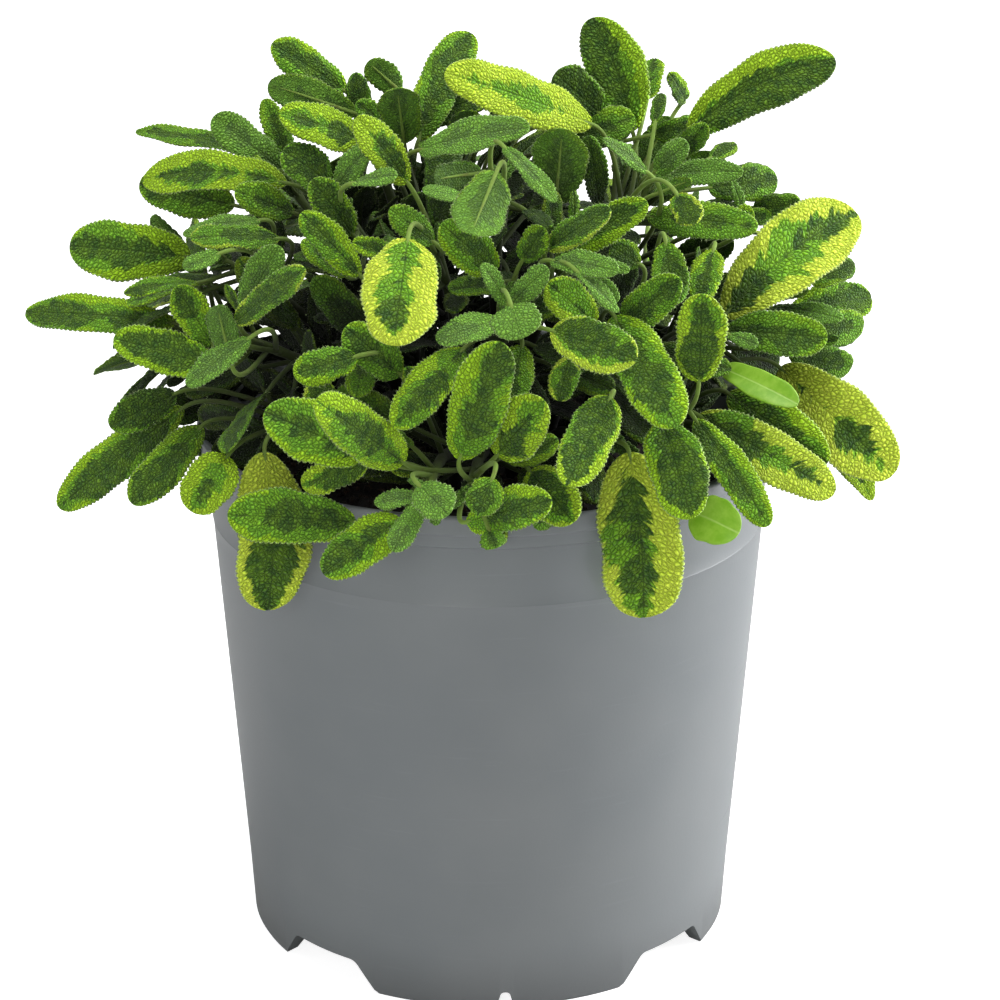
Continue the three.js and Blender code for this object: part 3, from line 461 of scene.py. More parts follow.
def samplesOf(strip, start, along, length):
    isBlade = strip["kind"] == "blade"
    steps, sides = (9, (-1, -0.5, 0, 0.5, 1)) if isBlade else (8, (0,))
    share = np.repeat(np.arange(steps + 1) / steps, len(sides))
    aside = np.tile(sides, steps + 1) * strip["half"] * (halfWidthAt(share) if isBlade else 1)
    across = start[0] + along[0] * share * length - along[1] * aside
    up = start[1] + along[1] * share * length + along[0] * aside
    return share, aside, across, up

def findRules(ends, strips):
    first = np.array([s["ends"][0] for s in strips])
    second = np.array([s["ends"][1] for s in strips])
    start, step = ends[first, :2], ends[second, :2] - ends[first, :2]
    length = np.maximum(np.hypot(step[:, 0], step[:, 1]), 0.5)
    along = step / length[:, None]
    half, slope, hump, cup = (np.array([strip[key] for strip in strips], float)
                              for key in ("half", "slope", "hump", "cup"))
    kinds = np.array([s["kind"] for s in strips])
    leafIds = np.array([id(s["leaf"]) for s in strips])
    shootIds = np.array([id(s["shoot"]) for s in strips])
    isBlade = kinds == "blade"
    rows, allSamples = [], []
    for i, strip in enumerate(strips):
        share, aside, across, up = samplesOf(strip, start[i], along[i], length[i])
        allSamples.append((share, aside, across, up))
        sameLeaf = (leafIds == leafIds[i]) & (kinds != "stem") & (kinds[i] != "stem")
        sameShoot = (shootIds == shootIds[i]) & ~(isBlade & isBlade[i])
        bothStems = (kinds == "stem") & (kinds[i] == "stem")
        others = np.flatnonzero(~(sameLeaf | sameShoot | bothStems) & (np.arange(len(strips)) != i))
        dx = across[:, None] - start[others, 0]
        dy = up[:, None] - start[others, 1]
        onShare = (dx * along[others, 0] + dy * along[others, 1]) / length[others]
        onAside = dy * along[others, 0] - dx * along[others, 1]
        overhang = layer["margin"] / length[others]
        wide = half[others] * np.where(isBlade[others], halfWidthAt(onShare), 1) + layer["margin"]
        hit = (onShare >= -overhang) & (onShare <= 1 + overhang) & (np.abs(onAside) < wide)
        k, o = np.nonzero(hit)
        j = others[o]
        mine = np.column_stack([share[k], aside[k]])
        theirs = np.column_stack([onShare[k, o], onAside[k, o]])
        isFirst = j < i
        a, b = np.where(isFirst, i, j), np.where(isFirst, j, i)
        onA = np.where(isFirst[:, None], mine, theirs)
        onB = np.where(isFirst[:, None], theirs, mine)
        rows.append(np.column_stack([a, b, ~isFirst, k, onA, onB]))
    rows = np.concatenate(rows)
    rows = rows[np.lexsort((rows[:, 3], rows[:, 2], rows[:, 1], rows[:, 0]))]
    a, b = rows[:, 0].astype(int), rows[:, 1].astype(int)
    def extra(which, share, aside):
        curved = hump[which] * 4 * share * (1 - share) + cup[which] * np.abs(aside)
        return slope[which] * aside + np.where(isBlade[which], curved, 0)
    extraA, extraB = extra(a, rows[:, 4], rows[:, 5]), extra(b, rows[:, 6], rows[:, 7])
    outA = ends[first[a], 2] * (1 - rows[:, 4]) + ends[second[a], 2] * rows[:, 4] + extraA
    outB = ends[first[b], 2] * (1 - rows[:, 6]) + ends[second[b], 2] * rows[:, 6] + extraB
    pairs, pairOf = np.unique(a * len(strips) + b, return_inverse=True)
    leads = np.bincount(pairOf.ravel(), outA - outB)
    sign = np.where(leads[pairOf.ravel()] < 0, -1.0, 1.0)
    near = sign * (outA - outB) < layer["gap"] + 2 * layer["farthest"]   # the rest can never meet
    data = [first[a], second[a], rows[:, 4], extraA, first[b], second[b], rows[:, 6], extraB, sign, a, b]
    return [list(column[near]) for column in map(np.asarray, data)], allSamples

def pushes(strip, share, movesNear):
    if strip["leaf"] is None or (strip["shoot"]["isNear"] and not movesNear):
        return ()
    start, end = strip["ends"]
    if strip["kind"] == "stalk":
        return ((end, share / max(share * share, 0.25)),)
    total = max((1 - share) ** 2 + share * share, 0.25)
    return ((start, (1 - share) / total), (end, share / total))

def settle(view, shoots, floorAt, movesNear):
    ends, strips = stripsOf(view, shoots)
    columns, allSamples = findRules(ends, strips)
    rules = []
    for fa, ta, sa, xa, fb, tb, sb, xb, sign, a, b in zip(*columns):
        endsA, endsB = pushes(strips[a], sa, movesNear), pushes(strips[b], sb, movesNear)
        if endsA or endsB:
            split = sign * (0.3 if endsA and endsB else 0.6)
            rules.append((fa, ta, 1 - sa, sa, xa - xb, fb, tb, 1 - sb, sb, sign, endsA, endsB, split))
    out = [float(value) for value in ends[:, 2]]
    floors = []
    for strip, (share, aside, across, up) in zip(strips, allSamples):
        if strip["kind"] != "blade":
            continue
        least = floorAt(across, up)
        extra = (strip["slope"] * aside + strip["hump"] * 4 * share * (1 - share)
                 + strip["cup"] * np.abs(aside))
        start, end = strip["ends"]
        for s, x, low in zip(share, extra, least):
            if low > -1e6 and out[start] * (1 - s) + out[end] * s + x > low - 40:
                floors.append((start, end, s, low - x, pushes(strip, s, movesNear)))
    lowest = [value - layer["farthest"] for value in out]
    highest = [value + layer["farthest"] for value in out]
    def push(moving, amount):
        for end, part in moving:
            moved = out[end] + amount * part
            out[end] = min(max(moved, lowest[end]), highest[end])
    gap = layer["gap"]
    for _ in range(layer["rounds"]):
        for fa, ta, ra, sa, x, fb, tb, rb, sb, sign, endsA, endsB, split in rules:
            lead = sign * (out[fa] * ra + out[ta] * sa + x - out[fb] * rb - out[tb] * sb)
            if lead < gap:
                push(endsA, split * (gap - lead))
                push(endsB, -split * (gap - lead))
        for start, end, s, low, moving in floors:
            short = low - out[start] * (1 - s) - out[end] * s
            if short > 0:
                push(moving, short)
    ends[:, 2] = out
    for strip in strips:
        if strip["kind"] == "blade":
            leaf = strip["leaf"]
            length = np.linalg.norm(leaf["end"] - leaf["start"])
            leaf["start"], leaf["end"] = (fromView(view, *ends[end]) for end in strip["ends"])
            if not strip["shoot"]["isNear"]:
                leaf["end"] = leaf["start"] + unit(leaf["end"] - leaf["start"]) * length

def growBush():
    shoots = [nearShoot(name, *entry) for name, entry in nearShoots.items()]
    shoots += [farShoot(name, *entry, index) for index, (name, entry) in enumerate(farShoots.items())]
    for shoot, foot in zip(shoots, spreadFeet(shoots)):
        shoot["foot"], shoot["curve"] = foot, stemCurve(foot, shoot["top"])
        rootLeaves(shoot)
    for _ in range(layer["passes"]):
        settle(planView, shoots, rimFloor, False)
        settle(eyeView, shoots, potOut, True)
    for shoot in shoots:
        without = noRoom.get(shoot["name"], [])
        shoot["leaves"] = [leaf for i, leaf in enumerate(shoot["leaves"]) if i not in without]
    return shoots

def srgb(*values):
    linear = [v / 255 / 12.92 if v < 10.3 else ((v / 255 + 0.055) / 1.055) ** 2.4 for v in values]
    return (*linear, 1.0)

def setInputs(tree, node, inputs):
    for key, value in inputs.items():
        if isinstance(value, bpy.types.NodeSocket):
            tree.links.new(value, node.inputs[key])
        else:
            node.inputs[key].default_value = value

def addNode(tree, kind, inputs=None, **settings):
    made = tree.nodes.new(kind)
    for key, value in settings.items():
        setattr(made, key, value)
    setInputs(tree, made, inputs or {})
    return made

def calc(tree, operation, a, b=0.0, c=0.0):
    return addNode(tree, "ShaderNodeMath", {0: a, 1: b, 2: c}, operation=operation).outputs[0]

def times(tree, *factors):
    product = factors[0]
    for factor in factors[1:]:
        product = calc(tree, "MULTIPLY", product, factor)
    return product

def plus(tree, *terms):
    total = terms[0]
    for term in terms[1:]:
        total = calc(tree, "ADD", total, term)
    return total

def minus(tree, a, b):
    return calc(tree, "SUBTRACT", a, b)

def sizeOf(tree, value):
    return calc(tree, "ABSOLUTE", value)

# value * factor + more
def scaled(tree, value, factor, more):
    return calc(tree, "MULTIPLY_ADD", value, factor, more)

def smoothStep(tree, value, low, high, start=0.0, end=1.0):
    made = addNode(tree, "ShaderNodeMapRange", {"Value": value, "From Min": low, "From Max": high,
                   "To Min": start, "To Max": end}, interpolation_type="SMOOTHSTEP")
    return made.outputs["Result"]

def mixColour(tree, share, a, b, blend="MIX"):
    return addNode(tree, "ShaderNodeMix", {0: share, 6: a, 7: b}, data_type="RGBA",
                   blend_type=blend).outputs[2]

def newGroup(name, kind, inputs, outputs):
    group = bpy.data.node_groups.new(name, kind)
    for direction, sockets in (("INPUT", inputs), ("OUTPUT", outputs)):
        for label, socketType, *default in sockets:
            socket = group.interface.new_socket(name=label, in_out=direction,
                                                socket_type="NodeSocket" + socketType)
            if default:
                socket.default_value = default[0]
    return group, group.nodes.new("NodeGroupInput").outputs, group.nodes.new("NodeGroupOutput").inputs

def newTree(name, *inputs):
    return newGroup(name, "GeometryNodeTree", [("Geometry", "Geometry"), *inputs, ("Finish", "Material")],
                    [("Geometry", "Geometry")])

def newMaterial(name):
    material = bpy.data.materials.new(name)
    material.use_nodes = True
    return material, material.node_tree, material.node_tree.nodes["Principled BSDF"]

def placeGroup(tree, group, inputs):
    return addNode(tree, "ShaderNodeGroup", inputs, node_tree=group).outputs

def grainOf(tree, groups, place, scale, detail):
    return placeGroup(tree, groups["grain"], {"Vector": place, "Scale": scale, "Detail": detail})["Grain"]

def addBump(tree, shader, strength, distance, height):
    bump = addNode(tree, "ShaderNodeBump", {"Strength": strength, "Distance": distance, "Height": height})
    tree.links.new(bump.outputs[0], shader.inputs["Normal"])

def attributeVector(tree, name):
    return addNode(tree, "ShaderNodeAttribute", attribute_name=name).outputs["Vector"]

def objectPlace(tree):
    return addNode(tree, "ShaderNodeTexCoord").outputs["Object"]

def splitVector(tree, vector):
    return addNode(tree, "ShaderNodeSeparateXYZ", {0: vector}).outputs

def joinVector(tree, x, y, z=0.0):
    return addNode(tree, "ShaderNodeCombineXYZ", {0: x, 1: y, 2: z}).outputs[0]

def vectorMath(tree, operation, inputs):
    return addNode(tree, "ShaderNodeVectorMath", inputs, operation=operation).outputs[0]

# Helpers for Geometry Nodes only.
def namedVector(group, name):
    return addNode(group, "GeometryNodeInputNamedAttribute", {"Name": name},
                   data_type="FLOAT_VECTOR").outputs[0]

def randomVector(group, low, high, seed):
    return addNode(group, "FunctionNodeRandomValue", {0: low, 1: high, "Seed": seed},
                   data_type="FLOAT_VECTOR").outputs[0]

def isMore(group, value, least):
    return addNode(group, "FunctionNodeCompare", {0: value, 1: least}, operation="GREATER_THAN").outputs[0]

def scatter(group, onto, selection, density, seed):
    return addNode(group, "GeometryNodeDistributePointsOnFaces", {"Mesh": onto, "Selection": selection,
                   "Density": density, "Seed": seed}).outputs

def paintedParts(group, geometry, material):
    plain = addNode(group, "GeometryNodeRealizeInstances", {0: geometry}).outputs[0]
    return addNode(group, "GeometryNodeSetMaterial", {"Geometry": plain, "Material": material}).outputs[0]

def setAttributes(mesh, attributes):
    for name, values in attributes.items():
        kind, key = ("FLOAT_VECTOR", "vector") if values.ndim == 2 else ("FLOAT", "value")
        mesh.attributes.new(name, kind, "POINT").data.foreach_set(key, values.astype(np.float32).ravel())

def meshFrom(name, points, quads, triangles, attributes):
    mesh = bpy.data.meshes.new(name)
    mesh.vertices.add(len(points))
    mesh.vertices.foreach_set("co", np.ascontiguousarray(points, np.float32).ravel())
    corners = np.concatenate([quads.ravel(), triangles.ravel()]).astype(np.int32)
    mesh.loops.add(len(corners))
    mesh.loops.foreach_set("vertex_index", corners)
    starts = np.concatenate([np.arange(len(quads)) * 4, len(quads) * 4 + np.arange(len(triangles)) * 3])
    mesh.polygons.add(len(starts))
    mesh.polygons.foreach_set("loop_start", starts.astype(np.int32))
    mesh.update(calc_edges=True)
    setAttributes(mesh, attributes)
    mesh.shade_smooth()
    return mesh

def newObject(name, mesh):
    made = bpy.data.objects.new(name, mesh)
    bpy.context.scene.collection.objects.link(made)
    return made

# Runs a Geometry Nodes tree over an object and leaves a plain mesh in its place.
def applyTree(piece, group, values):
    modifier = piece.modifiers.new(group.name, "NODES")
    modifier.node_group = group
    for item in group.interface.items_tree:
        if item.in_out == "INPUT" and item.name in values:
            modifier[item.identifier] = values[item.name]
    bpy.context.view_layer.update()
    evaluated = piece.evaluated_get(bpy.context.evaluated_depsgraph_get())
    made = bpy.data.meshes.new_from_object(evaluated)
    piece.modifiers.remove(modifier)
    old, piece.data = piece.data, made
    bpy.data.meshes.remove(old)
    return piece

def toFrame(points):
    return (points + np.array([potAxis[0], potAxis[1], 0])) * millimetre

# near to inner are the spacings of a blade's points, outside to deep inside the bush.
leafLook = dict(near=0.36, far=0.55, young=0.45, inner=0.8, thickness=0.42, cell=1.08, pebble=0.34,
                lateralGap=3.2, lateralLean=0.8, scallop=0.36, teeth=(-0.6, 0.5, 0.3), toothSpacing=0.45,
                wave=0.5, waveRate=(0.28, 0.5), smoothWave=0.3, twist=8, roll=(0.06, 0.2),
                tipWidening=0.1, uneven=0.06, netWidth=18, netMost=1.5, jitter=0.06, drift=0.25,
                firstSeed=1000, seedStep=37)

# How much light is left, by depth in the bush's dome.
innerShade = dict(depths=(-0.5, -0.25, -0.08), shades=(0.03, 0.2, 1.0))

# Each tone: gold, where the mid green ends, where the dark centre ends, felt and brightness.
tones = dict(
    green=(0.3, 0.7, 0.3, 0.2, 0.96), grey=(0.1, 1.3, 0.15, 0.8, 1.0), dull=(0.1, 1.2, 0.7, 0.15, 0.8),
    edged=(0.46, 0.55, 0.3, 0.15, 1.0), lime=(0.66, 0.2, 0.04, 0.1, 1.0),
    limeedge=(0.62, 0.42, 0.26, 0.1, 1.0), rimmed=(0.8, 0.72, 0.4, 0.3, 1.0),
    goldedge=(0.86, 0.45, 0.34, 0.1, 1.0), halfgold=(0.86, 0.3, 0.22, 0.1, 1.0),
    gold=(1.0, 0.26, 0.2, 0.05, 1.0), sunny=(0.8, 0.1, -0.3, 0.05, 1.0),
    patched=(0.6, 0.58, 0.46, 0.1, 1.0), broad=(0.9, 0.38, 0.32, 0.05, 1.0), smooth=(0, 0, 0, 0, 1))

# Height of the pebbled net, 0 in a vein and 1 on top of a cell. Shader and shape both use it.
def netNodes(tree, spot, share):
    x, y, seed = splitVector(tree, spot)
    edge = sizeOf(tree, splitVector(tree, share)[0])
    aside = sizeOf(tree, x)
    shift = times(tree, seed, 3.71)
    cellSpot = joinVector(tree, plus(tree, x, shift), minus(tree, scaled(tree, aside, -0.35, y), shift))
    warp = addNode(tree, "ShaderNodeTexNoise", {"Vector": cellSpot, "Scale": 0.5, "Detail": 1.0},
                   noise_dimensions="2D").outputs["Color"]
    warped = vectorMath(tree, "MULTIPLY_ADD", {0: warp, 1: (0.9, 0.9, 0), 2: cellSpot})
    cell = addNode(tree, "ShaderNodeTexVoronoi", {"Vector": warped, "Scale": 1 / leafLook["cell"]},
                   voronoi_dimensions="2D", feature="DISTANCE_TO_EDGE").outputs["Distance"]
    side = calc(tree, "GREATER_THAN", x, 0.0)
    leaned = scaled(tree, aside, -leafLook["lateralLean"], y)
    turns = scaled(tree, side, 0.5, calc(tree, "DIVIDE", leaned, leafLook["lateralGap"]))
    apart = sizeOf(tree, minus(tree, calc(tree, "FRACT", turns), 0.5))
    lateral = smoothStep(tree, apart, 0.0, 0.08, 0.3, 1.0)
    middle = smoothStep(tree, aside, 0.0, 0.45)
    fade = smoothStep(tree, edge, 0.9, 1.0, 1.0, 0.5)
    return times(tree, smoothStep(tree, cell, 0.0, 0.42), lateral, middle, fade)

def makeVeinGroup():
    group, given, wanted = newGroup("veinNet", "ShaderNodeTree", [("Spot", "Vector"), ("Share", "Vector")],
                                    [("Net", "Float")])
    group.links.new(netNodes(group, given["Spot"], given["Share"]), wanted["Net"])
    return group

# A patch along the midrib whose edge breaks into fingers that follow the side veins.
def makePatchGroup():
    group, given, wanted = newGroup("leafPatch", "ShaderNodeTree", [("Spot", "Vector"), ("Share", "Vector"),
        ("Drift", "Vector"), ("Reach", "Float", 0.5), ("Jag", "Float", 0.5), ("Shift", "Float", 0.0)],
        [("Mask", "Float")])
    lean, tipward, _ = splitVector(group, given["Drift"])
    x, y, seed = splitVector(group, given["Spot"])
    t, s, _ = splitVector(group, given["Share"])
    def noiseAt(across, along, number, detail, roughness):
        place = joinVector(group, across, along, plus(group, times(group, seed, number), given["Shift"]))
        return addNode(group, "ShaderNodeTexNoise", {"Vector": place, "Scale": 1.0, "Detail": detail,
                       "Roughness": roughness}, noise_dimensions="3D").outputs[0]
    leaning = scaled(group, sizeOf(group, x), -leafLook["lateralLean"], y)
    fingers = noiseAt(times(group, x, 0.09), times(group, leaning, 0.3), 1.7, 4.0, 0.65)
    slow = noiseAt(times(group, x, 0.035), times(group, y, 0.055), 3.3, 1.0, 0.5)
    tipTo = scaled(group, s, 2.0, -1.0)
    ragged = plus(group, times(group, minus(group, fingers, 0.5), given["Jag"]),
                  times(group, minus(group, slow, 0.5), 1.5), times(group, lean, t),
                  times(group, tipward, tipTo))
    across = times(group, calc(group, "POWER", sizeOf(group, t), 1.3), 0.75)
    ends = times(group, calc(group, "POWER", sizeOf(group, tipTo), 4.0), 0.35)
    beyond = minus(group, plus(group, across, ends, ragged), given["Reach"])
    group.links.new(smoothStep(group, beyond, -0.045, 0.045, 1.0, 0.0), wanted["Mask"])
    return group

# Fine unevenness that several finishes share.
def makeGrainGroup():
    group, given, wanted = newGroup("fineGrain", "ShaderNodeTree", [("Vector", "Vector"),
        ("Scale", "Float", 500.0), ("Detail", "Float", 4.0)], [("Grain", "Float")])
    noise = addNode(group, "ShaderNodeTexNoise", {"Vector": given["Vector"], "Scale": given["Scale"],
                    "Detail": given["Detail"], "Roughness": 0.6})
    group.links.new(noise.outputs[0], wanted["Grain"])
    return group

leafColours = dict(dark=srgb(54, 90, 34), middle=srgb(114, 174, 42), lime=srgb(170, 218, 34),
                   gold=srgb(218, 238, 76), felt=srgb(142, 188, 94), under=srgb(110, 150, 68),
                   rim=srgb(204, 228, 154))

# Gold or lime margin, green and dark patches, felt, a pale rim and the paler underside.
def leafBody(tree, groups, spot, share, felt):
    gold, midReach, darkReach = splitVector(tree, attributeVector(tree, "leafTone"))
    t, _, under = splitVector(tree, share)
    place = {"Spot": spot, "Share": share, "Drift": attributeVector(tree, "leafDrift")}
    middle, dark = (placeGroup(tree, groups["patch"], {**place, "Reach": reach, "Jag": jag,
                               "Shift": shift})["Mask"]
                    for reach, jag, shift in ((midReach, 1.1, 4.0), (darkReach, 1.0, 0.0)))
    grain = grainOf(tree, groups, spot, 0.35, 5.0)
    golden = smoothStep(tree, gold, 0.5, 1.0)
    body = leafColours["middle"]
    for amount, colour in ((smoothStep(tree, gold, 0.0, 0.5), "lime"), (golden, "gold"), (middle, "middle"),
                           (dark, "dark"), (smoothStep(tree, grain, 0.3, 0.75, 0.0, 0.3), "lime"),
                           (times(tree, felt, 0.55), "felt"),
                           (smoothStep(tree, sizeOf(tree, t), 0.93, 1.0, 0.0, 0.6), "rim"),
                           (times(tree, under, 0.45), "under")):
        body = mixColour(tree, amount, body, leafColours[colour])
    return body, times(tree, golden, minus(tree, 1.0, middle)), under

def makeLeafMaterial(groups):
    material, tree, shader = newMaterial("sageLeaf")
    spot, share = attributeVector(tree, "leafSpot"), attributeVector(tree, "leafShare")
    felt, bright, depth = splitVector(tree, attributeVector(tree, "leafFeltAndShade"))
    body, pale, under = leafBody(tree, groups, spot, share, felt)
    net = placeGroup(tree, groups["vein"], {"Spot": spot, "Share": share})["Net"]
    # Painted shade and highlight: vein grooves darker and cell tops lighter, a little less so on the
    # underside, and the whole leaf darker by its depth in the bush.
    groove = smoothStep(tree, net, 0.0, 0.15, scaled(tree, pale, 0.22, 0.4), 1.0)
    groove = times(tree, groove, smoothStep(tree, net, 0.15, 1.0, 0.92, 1.26))
    groove = times(tree, groove, times(tree, bright, depth))
    shade = mixColour(tree, times(tree, under, 0.35), joinVector(tree, groove, groove, groove),
                      joinVector(tree, depth, depth, depth))
    setInputs(tree, shader, {"Base Color": mixColour(tree, 1.0, body, shade, "MULTIPLY"), "Roughness": 0.62,
              "Specular IOR Level": 0.16, "Sheen Weight": 0.05, "Sheen Roughness": 0.4})
    addBump(tree, shader, 1.0, 0.0005, scaled(tree, grainOf(tree, groups, spot, 5.0, 2.0), 0.25, net))
    return material

stemColours = dict(young=srgb(120, 148, 62), old=srgb(70, 58, 36), flush=srgb(104, 96, 52))

def makeStemMaterial(groups):
    material, tree, shader = newMaterial("sageStem")
    age, depth, _ = splitVector(tree, attributeVector(tree, "stemSpot"))
    grain = grainOf(tree, groups, objectPlace(tree), 420.0, 4.0)
    body = mixColour(tree, smoothStep(tree, age, 0.25, 0.95), stemColours["young"], stemColours["old"])
    body = mixColour(tree, smoothStep(tree, grain, 0.45, 0.8, 0.0, 0.6), body, stemColours["flush"])
    # Painted shade: the stem colour is darker by its depth in the bush.
    body = mixColour(tree, 1.0, body, joinVector(tree, depth, depth, depth), "MULTIPLY")
    setInputs(tree, shader, {"Base Color": body, "Roughness": 0.7, "Specular IOR Level": 0.2,
              "Sheen Weight": 0.06})
    addBump(tree, shader, 0.4, 0.0002, grain)
    return material

def makeSeedlingMaterial(groups):
    material, tree, shader = newMaterial("seedlingLeaf")
    spot = attributeVector(tree, "leafSpot")
    rib = smoothStep(tree, sizeOf(tree, splitVector(tree, spot)[0]), 0.1, 0.45, 1.0, 0.0)
    grain = grainOf(tree, groups, spot, 0.25, 4.0)
    body = mixColour(tree, smoothStep(tree, grain, 0.3, 0.7), srgb(120, 172, 32), srgb(146, 190, 60))
    body = mixColour(tree, times(tree, rib, 0.5), body, srgb(176, 208, 110))
    setInputs(tree, shader, {"Base Color": body, "Roughness": 0.4})
    addBump(tree, shader, 0.3, 0.0002, minus(tree, grain, rib))
    return material

# Pushes the blade's skin up between its veins, by the same net as the finish.
def makeReliefTree():
    group, given, wanted = newTree("leafRelief", ("Pebble", "Float", 0.0002))
    net = netNodes(group, namedVector(group, "leafSpot"), namedVector(group, "leafShare"))
    rise = times(group, minus(group, net, 0.6), given["Pebble"])
    offset = vectorMath(group, "SCALE", {0: namedVector(group, "leafUp"), "Scale": rise})
    moved = addNode(group, "GeometryNodeSetPosition", {"Geometry": given["Geometry"], "Offset": offset})
    group.links.new(paintedParts(group, moved.outputs[0], given["Finish"]), wanted["Geometry"])
    return group

# Stalks, midribs and stems: tubes along polylines that carry their own thickness.
def makeStalkTree():
    group, given, wanted = newTree("stalkTubes", ("Sides", "Int", 9))
    curve = addNode(group, "GeometryNodeMeshToCurve", {"Mesh": given["Geometry"]})
    thick = addNode(group, "GeometryNodeInputNamedAttribute", {"Name": "thickness"}, data_type="FLOAT")
    ring = addNode(group, "GeometryNodeCurvePrimitiveCircle", {"Resolution": given["Sides"], "Radius": 1.0})
    tube = addNode(group, "GeometryNodeCurveToMesh", {"Curve": curve.outputs[0], "Fill Caps": True,
                   "Profile Curve": ring.outputs[0], "Scale": thick.outputs[0]})
    smooth = addNode(group, "GeometryNodeSetShadeSmooth", {"Geometry": tube.outputs[0]})
    group.links.new(paintedParts(group, smooth.outputs[0], given["Finish"]), wanted["Geometry"])
    return group

# A few leaves with patches that stand out: lean (gold towards the left edge, tip up), tipward (gold
# towards the tip), the number their pattern is drawn from and how much further the green reaches.
leafPatterns = {
    ("shoot_front_right", 2): (0.25, -0.12, 3, -0.12), ("shoot_right", 0): (0.0, 0.0, 21, -0.08),
    ("shoot_yellow_leaf", 0): (0.15, 0.2, 8, -0.16), ("shoot_low_left", 4): (0.0, -0.35, 5, -0.08),
    ("shoot_lower_right", 4): (0.1, 0.0, 14, -0.16), ("shoot_top_right", 0): (0.7, -0.1, 17, -0.05),
    ("shoot_top_right", 1): (-0.35, -0.2, 9, 0.05), ("shoot_front_mid", 0): (0.3, -0.2, 30, 0.0),
    ("shoot_front_left", 0): (0.1, 0.0, 12, 0.0), ("shoot_lower_right", 1): (0.0, 0.3, 26, 0.0),
    ("shoot_middle", 8): (-0.25, 0.0, 2, 0.0), ("shoot_middle", 7): (-0.3, 0.1, 41, 0.0),
    ("shoot_front_right", 0): (0.1, 0.1, 6, 0.14), ("shoot_lower_mid", 1): (0.1, 0.15, 33, 0.0),
}

# Painted shade: leaves and stems are darkened by how deep they sit in the bush's dome, standing in for the
# shade inside it.
def depthShade(points):
    return np.interp(domeDepth(points, 1), innerShade["depths"], innerShade["shades"])

def leafCenter(leaf, length, along, top, side, share):
    hump = 4 * share * (1 - share)
    arched = np.multiply.outer(bladeForm["arch"] * length * hump, top)
    return (leaf["start"] + np.multiply.outer(share * length, along) + arched
            + np.multiply.outer(leaf["bow"] * hump, side))

# Distances of the margin from the midrib on both sides, uneven and finely toothed.
def bladeMargins(leaf, s, spacing, draw):
    look = leafLook
    half = 0.5 * leaf["width"] * halfWidthAt(s) * (1 + look["tipWidening"] * (2 * s - 1))
    ramp = np.minimum(1, 8 * s * (1 - s))
    sides = [1 + look["uneven"] * np.sin(2 * np.pi * (s * draw.uniform(0.8, 1.6) + draw.random()))
             + 0.4 * look["uneven"] * np.sin(2 * np.pi * (s * 3.1 + draw.random())) for _ in range(2)]
    depth = 0 if leaf["tone"] == "smooth" else look["scallop"] * min(1, look["toothSpacing"] / spacing)
    teeth = depth * np.array(look["teeth"])[np.arange(1, len(s) + 1) % len(look["teeth"])] * ramp
    return half, ramp, half * sides[0] + teeth, half * sides[1] + np.roll(teeth, 1)

# Height of the blade over its plane: folded along the midrib, waved, twisted and rolled under.
def bladeLift(leaf, s, t, x, half, ramp, roll, length, draw):
    look = leafLook
    turn = np.radians(draw.uniform(-1, 1) * look["twist"]) * (2 * s - 1)
    waves = [draw.random() * 6.28 + s * length * draw.uniform(*look["waveRate"]) for _ in range(2)]
    waving = np.where(t[None, :] < 0, np.sin(waves[0])[:, None], np.sin(waves[1])[:, None])
    wave = look["wave"] * (look["smoothWave"] if leaf["tone"] == "smooth" else 1)
    lift = bladeForm["fold"] * (np.sqrt(x * x + 0.8) - 0.9) + wave * waving * t[None, :] ** 2 * ramp[:, None]
    return lift + x * np.tan(turn)[:, None] - roll * half[:, None] * np.abs(t[None, :]) ** 3

# Faces of the upper and the coarser lower sheet, which share their margins, base and tip.
def bladeFaces(rows, columns, picked):
    count = (rows - 1) * (columns + 1)
    topIds = np.arange(count).reshape(rows - 1, columns + 1)
    lowIds = topIds[:, picked]
    inner = (rows - 1) * (len(picked) - 2)
    lowIds[:, 1:-1] = count + np.arange(inner).reshape(rows - 1, -1)
    baseId, tipId = count + inner, count + inner + 1
    def quadsOf(ids, flip):
        corners = [ids[:-1, :-1], ids[1:, :-1], ids[1:, 1:], ids[:-1, 1:]]
        return np.stack(corners[::-1] if flip else corners, -1).reshape(-1, 4)
    def fan(row, pole, flip):
        three = [np.full(len(row) - 1, pole), row[:-1], row[1:]]
        return np.stack(three[::-1] if flip else three, -1)
    quads = np.concatenate([quadsOf(topIds, False), quadsOf(lowIds, True)])
    triangles = np.concatenate([fan(topIds[0], baseId, False), fan(lowIds[0], baseId, True),
                                fan(topIds[-1], tipId, True), fan(lowIds[-1], tipId, False)])
    return quads, triangles
